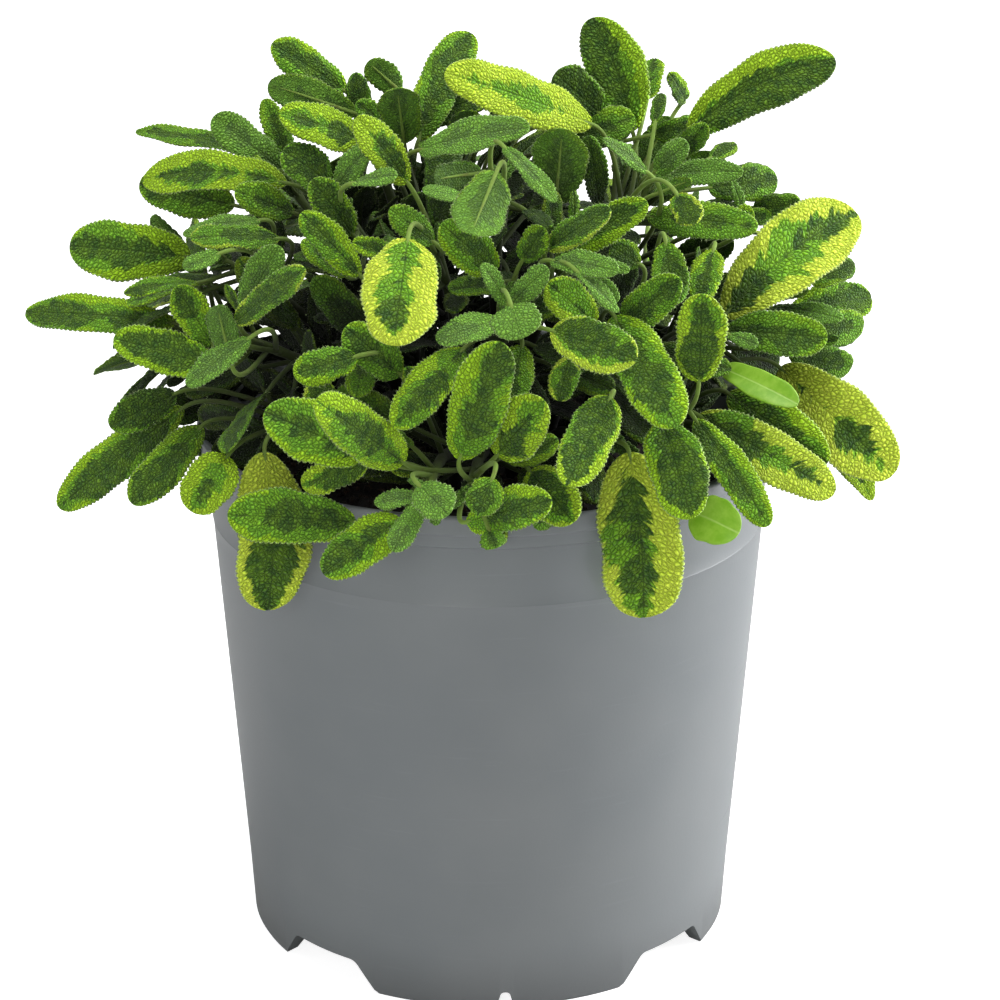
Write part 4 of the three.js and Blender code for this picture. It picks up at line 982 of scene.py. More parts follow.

# What the finish reads: place on the blade, share of width and length, tones, felt, brightness with painted
# shade by depth, and pattern.
def bladeMarks(leaf, seed, s, t, x, length, top, picked, points, draw):
    sGrid = np.broadcast_to(s[:, None], x.shape)
    tGrid = np.broadcast_to(t[None, :], x.shape)
    def stack(a, b, above, below, poles):
        upper = np.stack([a, b, np.full(x.shape, float(above))], -1).reshape(-1, 3)
        lower = np.stack([a, b, np.full(x.shape, float(below))], -1)[:, picked[1:-1]].reshape(-1, 3)
        return np.concatenate([upper, lower, poles])
    number = leaf.get("pattern", seed % 97)
    finer = min(leafLook["netMost"], (leafLook["netWidth"] / leaf["width"]) ** 0.4)
    spot = stack(x * finer, sGrid * length * finer, number, number,
                 [[0, 0, number], [0, length * finer, number]])
    share = stack(tGrid, sGrid, 0, 1, [[0, 0, 0.5], [0, 1, 0.5]])
    gold, middle, dark, felt, bright = tones[leaf["tone"]]
    jitter = draw.uniform(-1, 1, 4)
    further, vary = leaf.get("further", 0), leafLook["jitter"]
    tone = [gold + 0.05 * jitter[0], middle + vary * jitter[1] + further, dark + vary * jitter[2] + further]
    drift = [leaf.get(key, draw.uniform(-leafLook["drift"], leafLook["drift"]))
             for key in ("lean", "tipward")]
    total = len(points)
    feltAndShade = np.column_stack([np.full(total, felt), np.full(total, bright * (1 + vary * jitter[3])),
                            depthShade(points)])
    return dict(leafSpot=spot, leafShare=share, leafTone=np.tile(tone, (total, 1)),
                leafDrift=np.tile([*drift, 0], (total, 1)), leafFeltAndShade=feltAndShade, leafUp=np.tile(top, (total, 1)))

def bladeMesh(leaf, seed, spacing):
    draw = np.random.default_rng(seed)
    length, along, top, side = leafFrame(leaf)
    rows = max(12, round(length / spacing))
    columns = 2 * max(4, round(leaf["width"] / spacing / 2))
    even = np.arange(1, rows) / rows
    s = 0.45 * even + 0.55 * (1 - np.cos(np.pi * even)) / 2
    t = np.linspace(-1, 1, columns + 1)
    half, ramp, left, right = bladeMargins(leaf, s, spacing, draw)
    roll = 0 if leaf["tone"] == "smooth" else draw.uniform(*leafLook["roll"])
    x = np.where(t[None, :] < 0, t[None, :] * left[:, None], t[None, :] * right[:, None])
    lift = bladeLift(leaf, s, t, x, half, ramp, roll, length, draw)
    centers = leafCenter(leaf, length, along, top, side, s)
    body = 0.5 * leafLook["thickness"] * np.sqrt(1 - np.abs(t[None, :]) ** 8)
    def sheet(sign):
        return centers[:, None, :] + x[..., None] * side + (lift + sign * body)[..., None] * top
    picked = np.unique(np.round(np.linspace(0, columns, max(4, columns // 3) + 1)).astype(int))
    points = np.concatenate([sheet(1).reshape(-1, 3), sheet(-1)[:, picked[1:-1]].reshape(-1, 3),
                             [leaf["start"], leaf["end"]]])
    quads, triangles = bladeFaces(rows, columns, picked)
    return points, quads, triangles, bladeMarks(leaf, seed, s, t, x, length, top, picked, points, draw)

def joinMeshes(parts):
    offsets = np.cumsum([0] + [len(points) for points, *_ in parts])
    quads = np.concatenate([part[1] + offset for part, offset in zip(parts, offsets)])
    triangles = np.concatenate([part[2] + offset for part, offset in zip(parts, offsets)])
    attributes = {key: np.concatenate([part[3][key] for part in parts]) for key in parts[0][3]}
    return np.concatenate([part[0] for part in parts]), quads, triangles, attributes

# A stalk leaves its leaf by the shares in hang, by how much the leaf points away from the stem.
stalkLook = dict(step=1.3, base=0.75, neck=0.56, rib=0.26, ribReach=0.86, ribStep=1.6, ribSink=0.12,
                 stemStep=2.0, sides=8, hang=((-1, 0.2), (0.1, 0.3), (0.2, 0)), age=(0.3, 0.05),
                 knot=0.12, knotGap=6)

def stalkPath(leaf):
    look = stalkLook
    length, along, top, side = leafFrame(leaf)
    root, start = leaf["root"], leaf["start"]
    distance = np.linalg.norm(root - start)
    facing = (start - root) @ along / max(distance, 1e-6)
    angles, backs, lows = look["hang"]
    back, low = np.interp(facing, angles, backs), np.interp(facing, angles, lows)
    bend = start - (along * back + top * low) * distance
    steps = max(4, round(distance / look["step"]))
    walk = bezierAt((root, bend, start), np.linspace(0, 1, steps + 1))
    thick = np.linspace(look["base"], look["neck"], steps + 1)
    reach = np.linspace(0, look["ribReach"], max(6, round(length / look["ribStep"])))[1:]
    under = leafCenter(leaf, length, along, top, side, reach)
    ribs = np.interp(reach, [0, look["ribReach"]], [look["neck"], look["rib"] * 0.6])
    sink = np.minimum(1, 0.3 + reach * 7)[:, None] * top * (ribs + look["ribSink"])[:, None]
    age = np.concatenate([np.linspace(*look["age"], len(walk)), np.zeros(len(reach))])
    return np.concatenate([walk, under - sink]), np.concatenate([thick, ribs]), age

def stemPath(shoot):
    foot, curve = shoot["foot"], shoot["curve"]
    length = curveLengths(curve)[-1]
    share = np.linspace(0, 1, max(6, round(length / stalkLook["stemStep"])))
    points = np.concatenate([[[foot[0], foot[1], soil["top"] - stem["depth"]]], bezierAt(curve, share)])
    whole = np.concatenate([[0], share])
    knots = 1 + stalkLook["knot"] * (np.sin(whole * length / stalkLook["knotGap"] * np.pi) ** 8)
    thick = np.interp(whole, [0, 1], [stem["footRadius"], stem["tipRadius"]]) * knots * 0.95
    return points, thick, np.interp(whole, [0, 0.5, 1], [1.0, 0.7, 0.2])

def pathMesh(name, paths, seed):
    # Each stem point carries its age, its painted shade by depth in the bush, and a seed.
    spots = [np.column_stack([age, depthShade(path), np.full(len(path), seed + number)])
             for number, (path, _, age) in enumerate(paths)]
    offsets = np.cumsum([0] + [len(path) for path, _, _ in paths])
    edges = [np.column_stack([np.arange(len(path) - 1), np.arange(1, len(path))]) + offset
             for (path, _, _), offset in zip(paths, offsets)]
    mesh = bpy.data.meshes.new(name)
    mesh.from_pydata(np.concatenate([toFrame(path) for path, _, _ in paths]).tolist(),
                     np.concatenate(edges).tolist(), [])
    setAttributes(mesh, dict(thickness=np.concatenate([radii for _, radii, _ in paths]) * millimetre,
                             stemSpot=np.concatenate(spots)))
    return mesh

def joinObjects(pieces):
    with bpy.context.temp_override(active_object=pieces[0], object=pieces[0], selected_objects=pieces,
                                   selected_editable_objects=pieces):
        bpy.ops.object.join()
    return pieces[0]

def growShoot(shoot, index, trees, finishes):
    name, isSeedling = shoot["name"], "seedling" in shoot["name"]
    for number, leaf in enumerate(shoot["leaves"]):
        leaf.update(zip(("lean", "tipward", "pattern", "further"), leafPatterns.get((name, number), ())))
    kinds = ((shoot["leaves"], "near" if shoot["isNear"] else "far"), (shoot.get("buds", []), "young"),
             (shoot["fillers"], "inner"))
    leaves = [(leaf, leafLook[kind]) for group, kind in kinds for leaf in group]
    firstSeed = leafLook["firstSeed"] + leafLook["seedStep"] * index
    points, quads, triangles, attributes = joinMeshes(
        [bladeMesh(leaf, firstSeed + number, spacing) for number, (leaf, spacing) in enumerate(leaves)])
    blades = newObject(name + "_blades", meshFrom("blades", toFrame(points), quads, triangles, attributes))
    applyTree(blades, trees["relief"], {"Pebble": 0.0 if isSeedling else leafLook["pebble"] * millimetre,
              "Finish": finishes["seedling" if isSeedling else "leaf"]})
    paths = [stemPath(shoot)] + [stalkPath(leaf) for leaf, _ in leaves]
    stalks = newObject(name + "_stalks", pathMesh("stalks", paths, index))
    applyTree(stalks, trees["stalk"], {"Sides": stalkLook["sides"], "Finish": finishes["stem"]})
    pieces = [blades, stalks]
    if not isSeedling:
        hairs = newObject(name + "_hairs", blades.data.copy())
        applyTree(hairs, trees["hairs"], {"Density": hairLook["density"], "Length": hairLook["length"],
                  "Radius": hairLook["radius"], "Margin From": hairLook["marginFrom"], "Seed": index,
                  "Finish": finishes["hair"]})
        pieces.append(hairs)
    whole = joinObjects(pieces)
    whole.name = name + "_leafy"
    return whole

# Young leaves in pairs at a growing point: down the stem, length and opening.
buds = dict(firstSeed=400, pairs=((0.6, 5.0, 26), (2.4, 8.5, 40)), slenderness=0.42, stalk=0.8,
            rootBelow=0.4, spread=6, lengths=(0.85, 1.15))

def sideways(axis, first, spin):
    return first * math.cos(spin) + np.cross(axis, first) * math.sin(spin)

def growBuds(shoot, index):
    draw = np.random.default_rng(buds["firstSeed"] + index)
    _, bend, top = shoot["curve"]
    axis = unit(top - bend)
    first = unit(np.cross(axis, [0.3, 1, 0.2]))
    turn = draw.uniform(0, np.pi)
    shoot["buds"] = []
    for knot, (down, length, opening) in enumerate(buds["pairs"]):
        for half in (0, np.pi):
            radial = sideways(axis, first, turn + knot * np.pi / 2 + half)
            angle = math.radians(opening + draw.uniform(-buds["spread"], buds["spread"]))
            way = axis * math.cos(angle) + radial * math.sin(angle)
            root = top - axis * (down + buds["rootBelow"])
            start = root + way * buds["stalk"]
            long = length * draw.uniform(*buds["lengths"])
            shoot["buds"].append(dict(tone="grey", start=start, end=start + way * long, root=root, bow=0,
                                      top=axis * math.sin(angle) - radial * math.cos(angle),
                                      width=long * buds["slenderness"]))

# Older leaves inside the bush, and the points that stand for a leaf where room is looked for.
filler = dict(seed=77, tries=110, most=14, shares=(0.22, 0.95), openings=(38, 78), stalks=(5, 20), droop=0.12,
              scatter=0.15, lengths=(12, 27), slenderness=0.42, clearance=2.5, stalkClearance=1.8,
              ownStalkClearance=1.6, depth=-0.07, farDepth=0.0, lowest=136, around=22,
              tones=("dull", "green", "green", "edged", "limeedge"))

def leafCloud(leaf, gap=3.2, across=5):
    length, along, top, side = leafFrame(leaf)
    s = np.linspace(0, 1, max(4, round(length / gap)) + 1)
    wide = 0.5 * leaf["width"] * halfWidthAt(s)
    lines = [leafCenter(leaf, length, along, top, side, s) + side * (wide * k)[:, None]
             + top * (bladeForm["fold"] * wide * abs(k))[:, None] for k in np.linspace(-1, 1, across)]
    return np.concatenate(lines)

# Open spots are looked for over the eye's view, across and up, where the dome lies behind them.
gapSearch = dict(across=(-92, 93), up=(20, 120), step=3, open=1.2, outs=(20, -90, -5), inside=-0.02,
                 lengths=(20, 14, 9), slenderness=0.5, clearance=1.4, stalkClearance=1.2, nearestStems=4,
                 knots=(0.3, 0.97, 9), nearestKnots=3, turn=0.5, back=0.55, ahead=0.45, leastStalk=3,
                 outside=0.03)

def innerLeaf(curve, draw):
    share = draw.uniform(*filler["shares"])
    root = bezierAt(curve, share)
    axis = unit(bezierAt(curve, share + 0.02) - bezierAt(curve, share - 0.02))
    first = unit(np.cross(axis, [0.2, 1, 0.1]))
    spin, opening = draw.uniform(0, 2 * np.pi), math.radians(draw.uniform(*filler["openings"]))
    radial = sideways(axis, first, spin)
    way = axis * math.cos(opening) + radial * math.sin(opening)
    length = draw.uniform(*filler["lengths"])
    start = root + way * draw.uniform(*filler["stalks"])
    reach = filler["scatter"]
    end = start + unit(way + np.array([0, 0, -filler["droop"]]) + draw.uniform(-reach, reach, 3)) * length
    return dict(tone=filler["tones"][draw.integers(len(filler["tones"]))], start=start, end=end, root=root,
                bow=draw.uniform(-1, 1), width=length * filler["slenderness"],
                top=axis * math.sin(opening) - radial * math.cos(opening))

def growFillers(shoots):
    draw = np.random.default_rng(filler["seed"])
    blades = np.concatenate([leafCloud(leaf) for shoot in shoots for leaf in shoot["leaves"]])
    thin = [stalkPath(leaf)[0][::2] for shoot in shoots for leaf in shoot["leaves"]]
    thin = np.concatenate(thin + [bezierAt(shoot["curve"], np.linspace(0, 1, 24)) for shoot in shoots])
    for shoot in shoots:
        shoot["fillers"] = []
        if "seedling" in shoot["name"]:
            continue
        deepest = filler["depth" if shoot["isNear"] else "farDepth"]
        for _ in range(filler["tries"]):
            leaf = innerLeaf(shoot["curve"], draw)
            cloud = leafCloud(leaf)
            if cloud[:, 2].min() < filler["lowest"] or domeDepth(cloud, 1).max() > deepest:
                continue
            if not hasRoom(leaf, cloud, blades, thin, filler):
                continue
            shoot["fillers"].append(leaf)
            blades, thin = np.concatenate([blades, cloud]), np.concatenate([thin, stalkPath(leaf)[0][2::2]])
            if len(shoot["fillers"]) == filler["most"]:
                break
    closeGaps(shoots, blades, thin, draw)

def hasRoom(leaf, cloud, blades, thin, limits):
    middle, reach = cloud.mean(0), np.linalg.norm(leaf["end"] - leaf["start"]) + filler["around"]
    def gapTo(others, mine):
        close = others[np.linalg.norm(others - middle, axis=1) < reach]
        if len(close) == 0:
            return math.inf
        return np.sqrt(((mine[:, None] - close[None]) ** 2).sum(-1)).min()
    return (gapTo(blades, cloud) >= limits["clearance"] and gapTo(thin, cloud) >= limits["stalkClearance"]
            and gapTo(blades, stalkPath(leaf)[0][2:]) >= filler["ownStalkClearance"])

def flatCloud(leaf):
    across, up, out = toView(eyeView, leafCloud(leaf, 1.5, 11))
    return np.column_stack([across, up])

# Grows a leaf behind each spot where light shows through the bush, from a stem that can reach it.
def closeGaps(shoots, blades, thin, draw):
    sage = [shoot for shoot in shoots if "seedling" not in shoot["name"]]
    flat = np.concatenate([flatCloud(leaf) for shoot in shoots
                           for leaf in shoot["leaves"] + shoot["fillers"]])
    seen = closed = 0
    for up in np.arange(*gapSearch["up"], gapSearch["step"]):
        for across in np.arange(*gapSearch["across"], gapSearch["step"]):
            if np.linalg.norm(flat - (across, up), axis=1).min() < gapSearch["open"]:
                continue
            outs = np.arange(*gapSearch["outs"], dtype=float)
            centers = fromView(eyeView, np.full(len(outs), across), np.full(len(outs), up), outs)
            centers = centers[domeDepth(centers, 1) < gapSearch["inside"]]
            found = next(gapLeaves(sage, centers, blades, thin, draw), None)
            seen += len(centers) > 0
            if found:
                shoot, leaf, cloud = found
                shoot["fillers"].append(leaf)
                blades, flat = np.concatenate([blades, cloud]), np.concatenate([flat, flatCloud(leaf)])
                thin = np.concatenate([thin, stalkPath(leaf)[0][2::2]])
                closed += 1
    print("open spots", seen, "closed", closed)

def gapLeaves(sage, centers, blades, thin, draw):
    look = gapSearch
    for center in centers:
        nearest = sorted(sage, key=lambda shoot: np.linalg.norm(shoot["top"] - center))
        for shoot in nearest[:look["nearestStems"]]:
            knots = bezierAt(shoot["curve"], np.linspace(*look["knots"]))
            order = np.argsort(np.linalg.norm(knots - center, axis=1))
            for knot in knots[order][:look["nearestKnots"]]:
                way = unit(center - knot)
                facing, beside = facingFrame(eyeView, center, way)
                turn = draw.uniform(-look["turn"], look["turn"])
                for length in look["lengths"]:
                    leaf = dict(tone="green", start=center - way * length * look["back"], root=knot, bow=0,
                                end=center + way * length * look["ahead"], width=length * look["slenderness"],
                                top=facing * math.cos(turn) + beside * math.sin(turn))
                    cloud = leafCloud(leaf)
                    if (np.linalg.norm(center - knot) > length / 2 + look["leastStalk"]
                            and domeDepth(cloud, 1).max() < look["outside"]
                            and cloud[:, 2].min() > filler["lowest"]
                            and hasRoom(leaf, cloud, blades, thin, gapSearch)):
                        yield shoot, leaf, cloud

potLook = dict(segments=256, grooveDepth=-0.14, grooveHalf=0.4, sharpFrom=32)
arch = dict(count=4, firstAzimuth=48, height=8.7, topHalfAngle=9.5, bottomHalfAngle=16, corner=1.6)
footNotch = dict(firstAzimuth=4, width=5, topWidth=2.25, height=4.5, corner=1.0)
cutter = dict(reachIn=9, length=14, below=1)

def roundedCorner(points, index, radius, steps=4):
    before, corner, after = (np.array(points[index + k], float) for k in (-1, 0, 1))
    a = corner + unit(before - corner) * radius
    b = corner + unit(after - corner) * radius
    return [tuple(bezierAt((a, corner, b), k / steps)) for k in range(steps + 1)]

def potProfile():
    p, wall = pot, pot["wall"]
    lineAt = p["lineHeight"]
    def wallAt(height):
        share = (height - p["shoulderHeight"]) / (lineAt - p["shoulderHeight"])
        return p["shoulderRadius"] + (p["lineRadius"] - p["shoulderRadius"]) * share
    half, depth = potLook["grooveHalf"], potLook["grooveDepth"]
    sharp = [(0, p["floorHeight"] - wall), (p["footRadius"] - 7, p["floorHeight"] - wall),
             (p["footRadius"] - 4.5, 0), (p["footRadius"] - 0.7, 0), (p["footRadius"], 1.2)]
    sharp += [(wallAt(h), h) for h in np.linspace(p["shoulderHeight"], lineAt - 4, 14)]
    sharp += [(wallAt(lineAt - half), lineAt - half), (wallAt(lineAt) - depth, lineAt),
              (wallAt(lineAt) + 0.02, lineAt + half), (p["lineRadius"] + 0.2, lineAt + 5),
              (p["wallTopRadius"], p["bandBottom"]), (p["bandRadius"], p["bandBottom"] + 0.6),
              (p["bandRadius"] + 0.2, p["height"] - p["lipHeight"] - 0.8),
              (p["lipRadius"], p["height"] - p["lipHeight"]), (p["lipRadius"], p["height"]),
              (p["lipRadius"] - wall, p["height"]), (p["bandRadius"] - wall, p["height"] - 2),
              (p["wallTopRadius"] - wall, p["bandBottom"]), (p["shoulderRadius"] - wall, p["shoulderHeight"]),
              (p["footRadius"] - 4, p["floorHeight"]), (0, p["floorHeight"])]
    rounds = {sharp.index((p["lipRadius"], p["height"])): 1.1,
              sharp.index((p["lipRadius"] - wall, p["height"])): 0.6,
              sharp.index((p["lipRadius"], p["height"] - p["lipHeight"])): 0.5,
              sharp.index((p["bandRadius"], p["bandBottom"] + 0.6)): 0.35,
              sharp.index((p["wallTopRadius"] - wall, p["bandBottom"])): 3.0,
              sharp.index((p["footRadius"] - 4, p["floorHeight"])): 1.5}
    profile = []
    for index, point in enumerate(sharp):
        profile += roundedCorner(sharp, index, rounds[index]) if index in rounds else [point]
    return np.array(profile)

def latheMesh(name, profile, segments):
    inner = profile[1:-1]
    angles = np.linspace(0, 2 * np.pi, segments, endpoint=False)
    ring = np.stack([np.cos(angles), np.sin(angles)], -1)
    body = np.concatenate([inner[:, None, :1] * ring[None], np.broadcast_to(
        inner[:, None, 1:], (len(inner), segments, 1))], -1)
    points = np.concatenate([body.reshape(-1, 3), [[0, 0, profile[0][1]], [0, 0, profile[-1][1]]]])
    ids = np.arange(len(inner) * segments).reshape(len(inner), segments)
    after = np.roll(ids, -1, 1)
    quads = np.stack([ids[:-1], after[:-1], after[1:], ids[1:]], -1).reshape(-1, 4)
    low, high = len(points) - 2, len(points) - 1
    triangles = np.concatenate([np.stack([np.full(segments, low), after[0], ids[0]], -1),
                                np.stack([np.full(segments, high), ids[-1], after[-1]], -1)])
    return meshFrom(name, toFrame(points), quads, triangles, {})

# A block that widens downwards and passes through one side of the foot.
def archCutter(halfTop, halfBottom, height, azimuth, corner):
    outline = [(-halfBottom, -cutter["below"]), (halfBottom, -cutter["below"]), (halfTop, height),
               (-halfTop, height), (-halfBottom, -cutter["below"])]
    path = outline[:2] + roundedCorner(outline, 2, corner) + roundedCorner(outline, 3, corner)
    turn = math.radians(azimuth)
    radii = (pot["footRadius"] - cutter["reachIn"], pot["footRadius"] - cutter["reachIn"] + cutter["length"])
    points = np.array([[x * math.cos(turn) + r * math.sin(turn), x * math.sin(turn) - r * math.cos(turn), z]
                       for r in radii for x, z in path])
    n = len(path)
    mesh = bmesh.new()
    corners = [mesh.verts.new(p) for p in toFrame(points)]
    mesh.faces.new(corners[:n])
    mesh.faces.new(corners[n:][::-1])
    for i in range(n):
        j = (i + 1) % n
        mesh.faces.new((corners[i], corners[i + n], corners[j + n], corners[j]))
    bmesh.ops.recalc_face_normals(mesh, faces=mesh.faces)
    made = bpy.data.meshes.new("cutter")
    mesh.to_mesh(made)
    mesh.free()
    return newObject("cutter", made)

def makePotMaterial(groups):
    material, tree, shader = newMaterial("potPlastic")
    place = objectPlace(tree)
    x, y, z = splitVector(tree, place)
    cloud = grainOf(tree, groups, place, 14.0, 3.0)
    across, deep = (minus(tree, value, middle * millimetre) for value, middle in zip((x, y), potAxis))
    angle = calc(tree, "ARCTAN2", deep, across)
    drag = joinVector(tree, times(tree, angle, 2.2), times(tree, z, 900.0))
    scuffs = smoothStep(tree, grainOf(tree, groups, drag, 1.0, 6.0), 0.6, 0.74)
    body = mixColour(tree, smoothStep(tree, cloud, 0.3, 0.7), srgb(110, 115, 117), srgb(118, 122, 123))
    body = mixColour(tree, times(tree, scuffs, 0.12), body, srgb(150, 154, 156))
    # Painted shade: the pot's colour is darker over its lowest 20 mm, towards the floor.
    body = mixColour(tree, smoothStep(tree, z, 0.0, 0.02, 0.5, 0.0), body, srgb(98, 100, 100))
    rough = scaled(tree, scuffs, 0.12, smoothStep(tree, cloud, 0.2, 0.8, 0.36, 0.44))
    setInputs(tree, shader, {"Base Color": body, "Roughness": rough})
    addBump(tree, shader, 0.2, 0.0001, scaled(tree, scuffs, -0.5, grainOf(tree, groups, place, 1400.0, 2.0)))
    return material

def buildPot(finish):
    body = newObject("pot_shell", latheMesh("pot_shell", potProfile(), potLook["segments"]))
    cutters = []
    for k in range(arch["count"]):
        turn = 360 / arch["count"] * k
        top, bottom = (pot["footRadius"] * math.sin(math.radians(arch[key]))
                       for key in ("topHalfAngle", "bottomHalfAngle"))
        cutters.append(archCutter(top, bottom, arch["height"], arch["firstAzimuth"] + turn, arch["corner"]))
        cutters.append(archCutter(footNotch["topWidth"] / 2, footNotch["width"] / 2, footNotch["height"],
                                  footNotch["firstAzimuth"] + turn, footNotch["corner"]))
    for tool in cutters:
        cut = body.modifiers.new("cut", "BOOLEAN")
        cut.operation, cut.solver, cut.object = "DIFFERENCE", "EXACT", tool
    bpy.context.view_layer.update()
    made = bpy.data.meshes.new_from_object(body.evaluated_get(bpy.context.evaluated_depsgraph_get()))
    body.modifiers.clear()
    body.data = made
    for tool in cutters:
        bpy.data.objects.remove(tool)
    made.materials.clear()
    made.materials.append(finish)
    made.shade_smooth()
    made.set_sharp_from_angle(angle=math.radians(potLook["sharpFrom"]))
    return body

soilLook = dict(segments=72, rings=30, lump=1.5, waves=7, waveRates=(150, 900), crumbSize=0.0011,
                crumbDensity=110000.0, sideClearance=0.35, crumbsBelowTop=1.5, seed=5)

def soilBody():
    draw = np.random.default_rng(soilLook["seed"])
    wall = pot["wall"] + soilLook["sideClearance"]
    share = (soil["top"] - pot["shoulderHeight"]) / (pot["bandBottom"] - pot["shoulderHeight"])
    rim = pot["shoulderRadius"] + (pot["wallTopRadius"] - pot["shoulderRadius"]) * share - wall
    radii = np.linspace(rim, 0, soilLook["rings"] + 1)
    profile = [(0, pot["floorHeight"] + 0.3), (pot["footRadius"] - 4.6, pot["floorHeight"] + 0.3),
               (pot["shoulderRadius"] - wall, pot["shoulderHeight"])]
    profile += [(r, soil["top"] + soil["mound"] * (1 - (r / rim) ** 2)) for r in radii]
    mesh = latheMesh("soil_mass", np.array(profile), soilLook["segments"])
    co = np.zeros(len(mesh.vertices) * 3, np.float32)
    mesh.vertices.foreach_get("co", co)
    co = co.reshape(-1, 3)
    top = co[:, 2] > (soil["top"] + 0.05) * millimetre   # inside the rim, which stays level
    def wave(axis):
        return np.sin(co[:, axis] * draw.uniform(*soilLook["waveRates"]) + draw.random() * 6)
    waves = sum(wave(0) * wave(1) for _ in range(soilLook["waves"])) / 3.0
    co[top, 2] += (soilLook["lump"] * millimetre) * waves[top] * 0.6
    mesh.vertices.foreach_set("co", co.ravel())
    mesh.update()
    return newObject("soil_crumbly", mesh)

def makeCrumbTree():
    group, given, wanted = newTree("soilCrumbs", ("Density", "Float", 100000.0), ("Size", "Float", 0.001),
        ("Lowest", "Float", 0.13), ("Seed", "Int", 3), ("Bark", "Material"))
    height = splitVector(group, addNode(group, "GeometryNodeInputPosition").outputs[0])[2]
    isTop = isMore(group, height, given["Lowest"])
    spots = scatter(group, given["Geometry"], isTop, given["Density"], given["Seed"])
    lump = addNode(group, "GeometryNodeMeshIcoSphere", {"Radius": 1.0, "Subdivisions": 1})
    stretch = randomVector(group, (0.5, 0.5, 0.35), (1.6, 1.2, 0.9), given["Seed"])
    sized = vectorMath(group, "SCALE", {0: stretch, "Scale": given["Size"]})
    turned = randomVector(group, (0, 0, 0), (6.28, 6.28, 6.28), 8)
    placed = addNode(group, "GeometryNodeInstanceOnPoints", {"Points": spots[0], "Instance": lump.outputs[0],
                     "Rotation": turned, "Scale": sized})
    both = group.nodes.new("GeometryNodeJoinGeometry")
    for geometry, material in ((given["Geometry"], given["Finish"]), (placed.outputs[0], given["Bark"])):
        group.links.new(paintedParts(group, geometry, material), both.inputs[0])
    group.links.new(both.outputs[0], wanted["Geometry"])
    return group

def makeSoilMaterial(groups, name, dark, light):
    material, tree, shader = newMaterial(name)
    place = objectPlace(tree)
    grain = grainOf(tree, groups, place, 650.0, 6.0)
    patch = plus(tree, grainOf(tree, groups, place, 90.0, 3.0), 0.5)
    body = mixColour(tree, smoothStep(tree, times(tree, grain, patch), 0.35, 0.75), dark, light)
    setInputs(tree, shader, {"Base Color": body, "Roughness": 0.92})
    addBump(tree, shader, 0.9, 0.0007, grain)
    return material

# The fine white hairs along a leaf's margin.
hairLook = dict(density=1.1e6, length=0.0007, radius=0.00004, marginFrom=0.9)

def makeHairTree():
    group, given, wanted = newTree("feltHairs", ("Density", "Float", 1e6), ("Length", "Float", 0.0006),
        ("Radius", "Float", 0.00004), ("Margin From", "Float", 0.9), ("Seed", "Int", 2))
    edge = sizeOf(group, splitVector(group, namedVector(group, "leafShare"))[0])
    margin = isMore(group, edge, given["Margin From"])
    spots = scatter(group, given["Geometry"], margin, given["Density"], given["Seed"])
    lean = randomVector(group, (-0.7, -0.7, -0.7), (0.7, 0.7, 0.7), 4)
    way = vectorMath(group, "ADD", {0: spots["Normal"], 1: lean})
    turned = addNode(group, "FunctionNodeAlignRotationToVector", {"Vector": way}, axis="Z").outputs[0]
    hair = addNode(group, "GeometryNodeMeshCone", {"Vertices": 3, "Radius Top": 0.0, "Depth": given["Length"],
                   "Radius Bottom": given["Radius"]}, fill_type="NONE").outputs[0]
    size = addNode(group, "FunctionNodeRandomValue", {2: 0.5, 3: 1.2, "Seed": 6},
                   data_type="FLOAT").outputs[1]
    placed = addNode(group, "GeometryNodeInstanceOnPoints", {"Points": spots[0], "Instance": hair,
                     "Rotation": turned, "Scale": size})
    group.links.new(paintedParts(group, placed.outputs[0], given["Finish"]), wanted["Geometry"])
    return group

def noiseBetween(tree, scale, detail, dark, light):
    noise = addNode(tree, "ShaderNodeTexNoise", {"Vector": objectPlace(tree), "Scale": scale,
                    "Detail": detail})
    return mixColour(tree, noise.outputs[0], dark, light)

def makeHairMaterial():
    material, tree, shader = newMaterial("leafHair")
    body = noiseBetween(tree, 60.0, 2.0, srgb(176, 202, 128), srgb(205, 222, 170))
    setInputs(tree, shader, {"Base Color": body, "Roughness": 0.6})
    return material

studio = dict(cameraFrom=(10.2, -838.5, 434.4), lookAt=(10.2, 4.5, 119.2), lens=119.28, sensor=36,
              lampsAim=(0.0, 0.0, 120.0), world=0.13, floorGlow=0.85, floorSize=6.0, floorDark=0.6,
              floorLight=0.64)
# Each lamp: place, size across and up, strength and tint.
lamps = dict(
    above=((0.1, -0.1, 1.3), (1.1, 1.1), 14, (1, 1, 1)),
    sideRight=((1.2, 0.05, 0.35), (0.5, 1.0), 17, (0.98, 0.98, 1)),
    sideBehind=((1.1, 0.5, 0.4), (0.5, 1.0), 12, (0.98, 0.98, 1)),
    front=((-0.3, -1.3, 0.5), (0.8, 0.8), 7, (1, 1, 1)),
    fillLeft=((-1.3, -0.3, 0.6), (1.0, 1.0), 3.5, (0.97, 0.98, 1)),
    behind=((-0.4, 1.4, 0.8), (1.0, 0.8), 7, (1, 1, 1)))

def makeFloor():
    material, tree, shader = newMaterial("paleFloor")
    dark, light = ((studio[key],) * 3 + (1,) for key in ("floorDark", "floorLight"))
    setInputs(tree, shader, {"Base Color": noiseBetween(tree, 3.0, 2.0, dark, light), "Roughness": 0.9})
    seen = addNode(tree, "ShaderNodeLightPath").outputs["Is Camera Ray"]
    glow = addNode(tree, "ShaderNodeEmission", {"Color": (1, 1, 1, 1),
                   "Strength": times(tree, seen, studio["floorGlow"])})
    both = addNode(tree, "ShaderNodeAddShader", {0: shader.outputs[0], 1: glow.outputs[0]})
    tree.links.new(both.outputs[0], tree.nodes["Material Output"].inputs[0])
    size = studio["floorSize"]
    mesh = bpy.data.meshes.new("floor")
    corners = [(-size, -size, 0), (size, -size, 0), (size, size, 0), (-size, size, 0)]
    mesh.from_pydata(corners, [], [(0, 1, 2, 3)])
    mesh.materials.append(material)
    return newObject("floor", mesh)

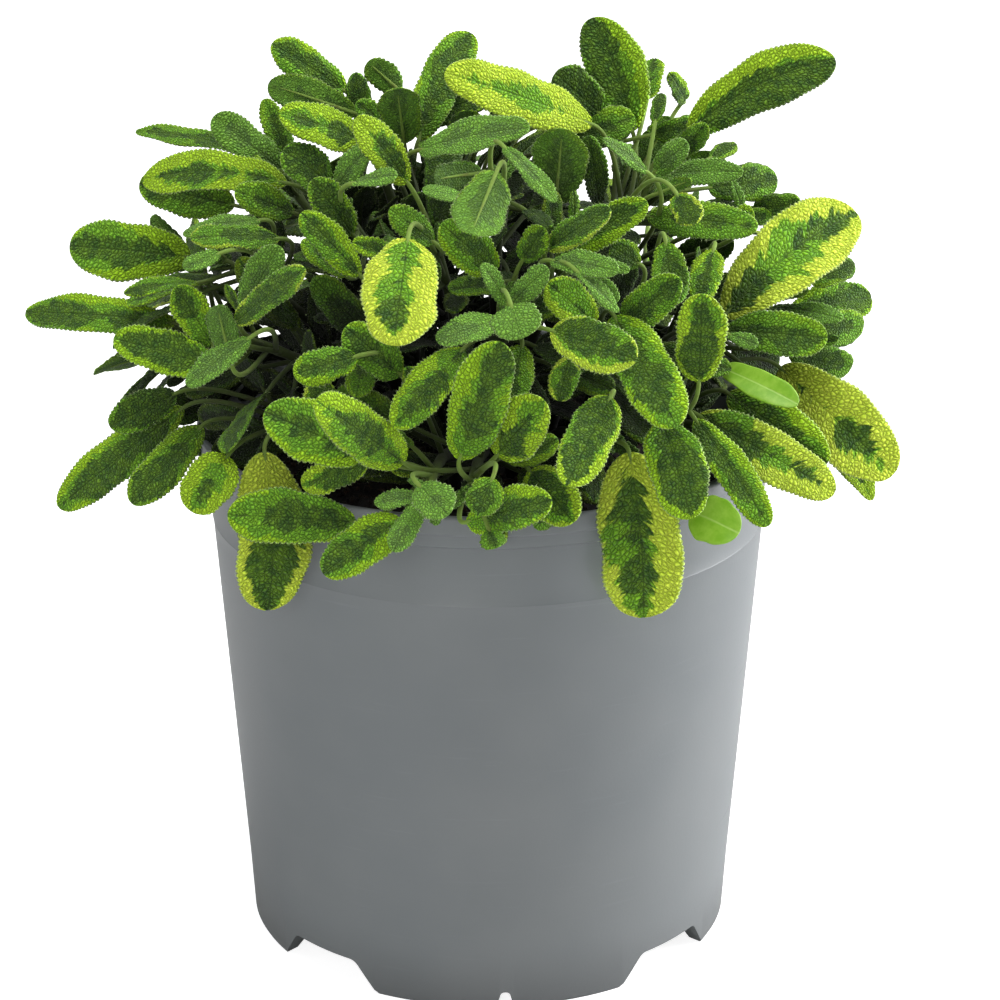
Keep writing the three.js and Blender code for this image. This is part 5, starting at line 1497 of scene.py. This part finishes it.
def aimFrom(name, data, place, target):
    made = newObject(name, data)
    made.location = place
    aim = mathutils.Vector(target) * millimetre - made.location
    made.rotation_euler = aim.to_track_quat("-Z", "Y").to_euler()
    return made

def lightStudio():
    for name, (place, size, strength, tint) in lamps.items():
        data = bpy.data.lights.new(name, "AREA")
        data.shape, data.size, data.size_y = "RECTANGLE", *size
        data.energy, data.color = strength, tint
        aimFrom(name, data, place, studio["lampsAim"])
    world = bpy.data.worlds.new("paleStudio")
    world.use_nodes = True
    sky = world.node_tree.nodes["Background"]
    setInputs(world.node_tree, sky, {"Color": (1, 1, 1, 1), "Strength": studio["world"]})
    bpy.context.scene.world = world

def placeCamera():
    data = bpy.data.cameras.new("camera")
    data.lens, data.sensor_width = studio["lens"], studio["sensor"]
    place = mathutils.Vector(studio["cameraFrom"]) * millimetre
    bpy.context.scene.camera = aimFrom("camera", data, place, studio["lookAt"])
    bpy.context.scene.view_settings.view_transform = "Standard"

def main():
    groups = dict(vein=makeVeinGroup(), patch=makePatchGroup(), grain=makeGrainGroup())
    trees = dict(relief=makeReliefTree(), stalk=makeStalkTree(), crumbs=makeCrumbTree(), hairs=makeHairTree())
    finishes = dict(leaf=makeLeafMaterial(groups), stem=makeStemMaterial(groups),
                    seedling=makeSeedlingMaterial(groups), hair=makeHairMaterial())
    shoots = growBush()
    print("bush laid out", sum(len(shoot["leaves"]) for shoot in shoots), "leaves")

    pieces = []
    shell = buildPot(makePotMaterial(groups))
    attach(shell, "root")
    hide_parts("pot")
    print("pot built", len(shell.data.polygons), "faces")

    ground = soilBody()
    peat = makeSoilMaterial(groups, "peat", srgb(14, 13, 10), srgb(46, 38, 30))
    bark = makeSoilMaterial(groups, "peatCrumb", srgb(20, 16, 12), srgb(70, 54, 40))
    lowest = (soil["top"] - soilLook["crumbsBelowTop"]) * millimetre
    applyTree(ground, trees["crumbs"], {"Density": soilLook["crumbDensity"], "Size": soilLook["crumbSize"],
              "Lowest": lowest, "Seed": 3, "Finish": peat, "Bark": bark})
    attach(ground, "root")
    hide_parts("soil")
    print("soil built", len(ground.data.polygons), "faces")

    growFillers(shoots)
    print("inner leaves", sum(len(shoot["fillers"]) for shoot in shoots))
    for index, shoot in enumerate(shoots):
        if "seedling" not in shoot["name"]:
            growBuds(shoot, index)
        piece = growShoot(shoot, index, trees, finishes)
        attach(piece, "root")
        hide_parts(shoot["name"])
        "seedling" if "seedling" in shoot["name"] else "sage_leaf"
        pieces.append(piece)
    print("shoots grown", sum(len(piece.data.polygons) for piece in pieces), "faces")

    floor = makeFloor()
    floor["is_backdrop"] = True
    lightStudio()
    placeCamera()
    lowest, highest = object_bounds()

main()
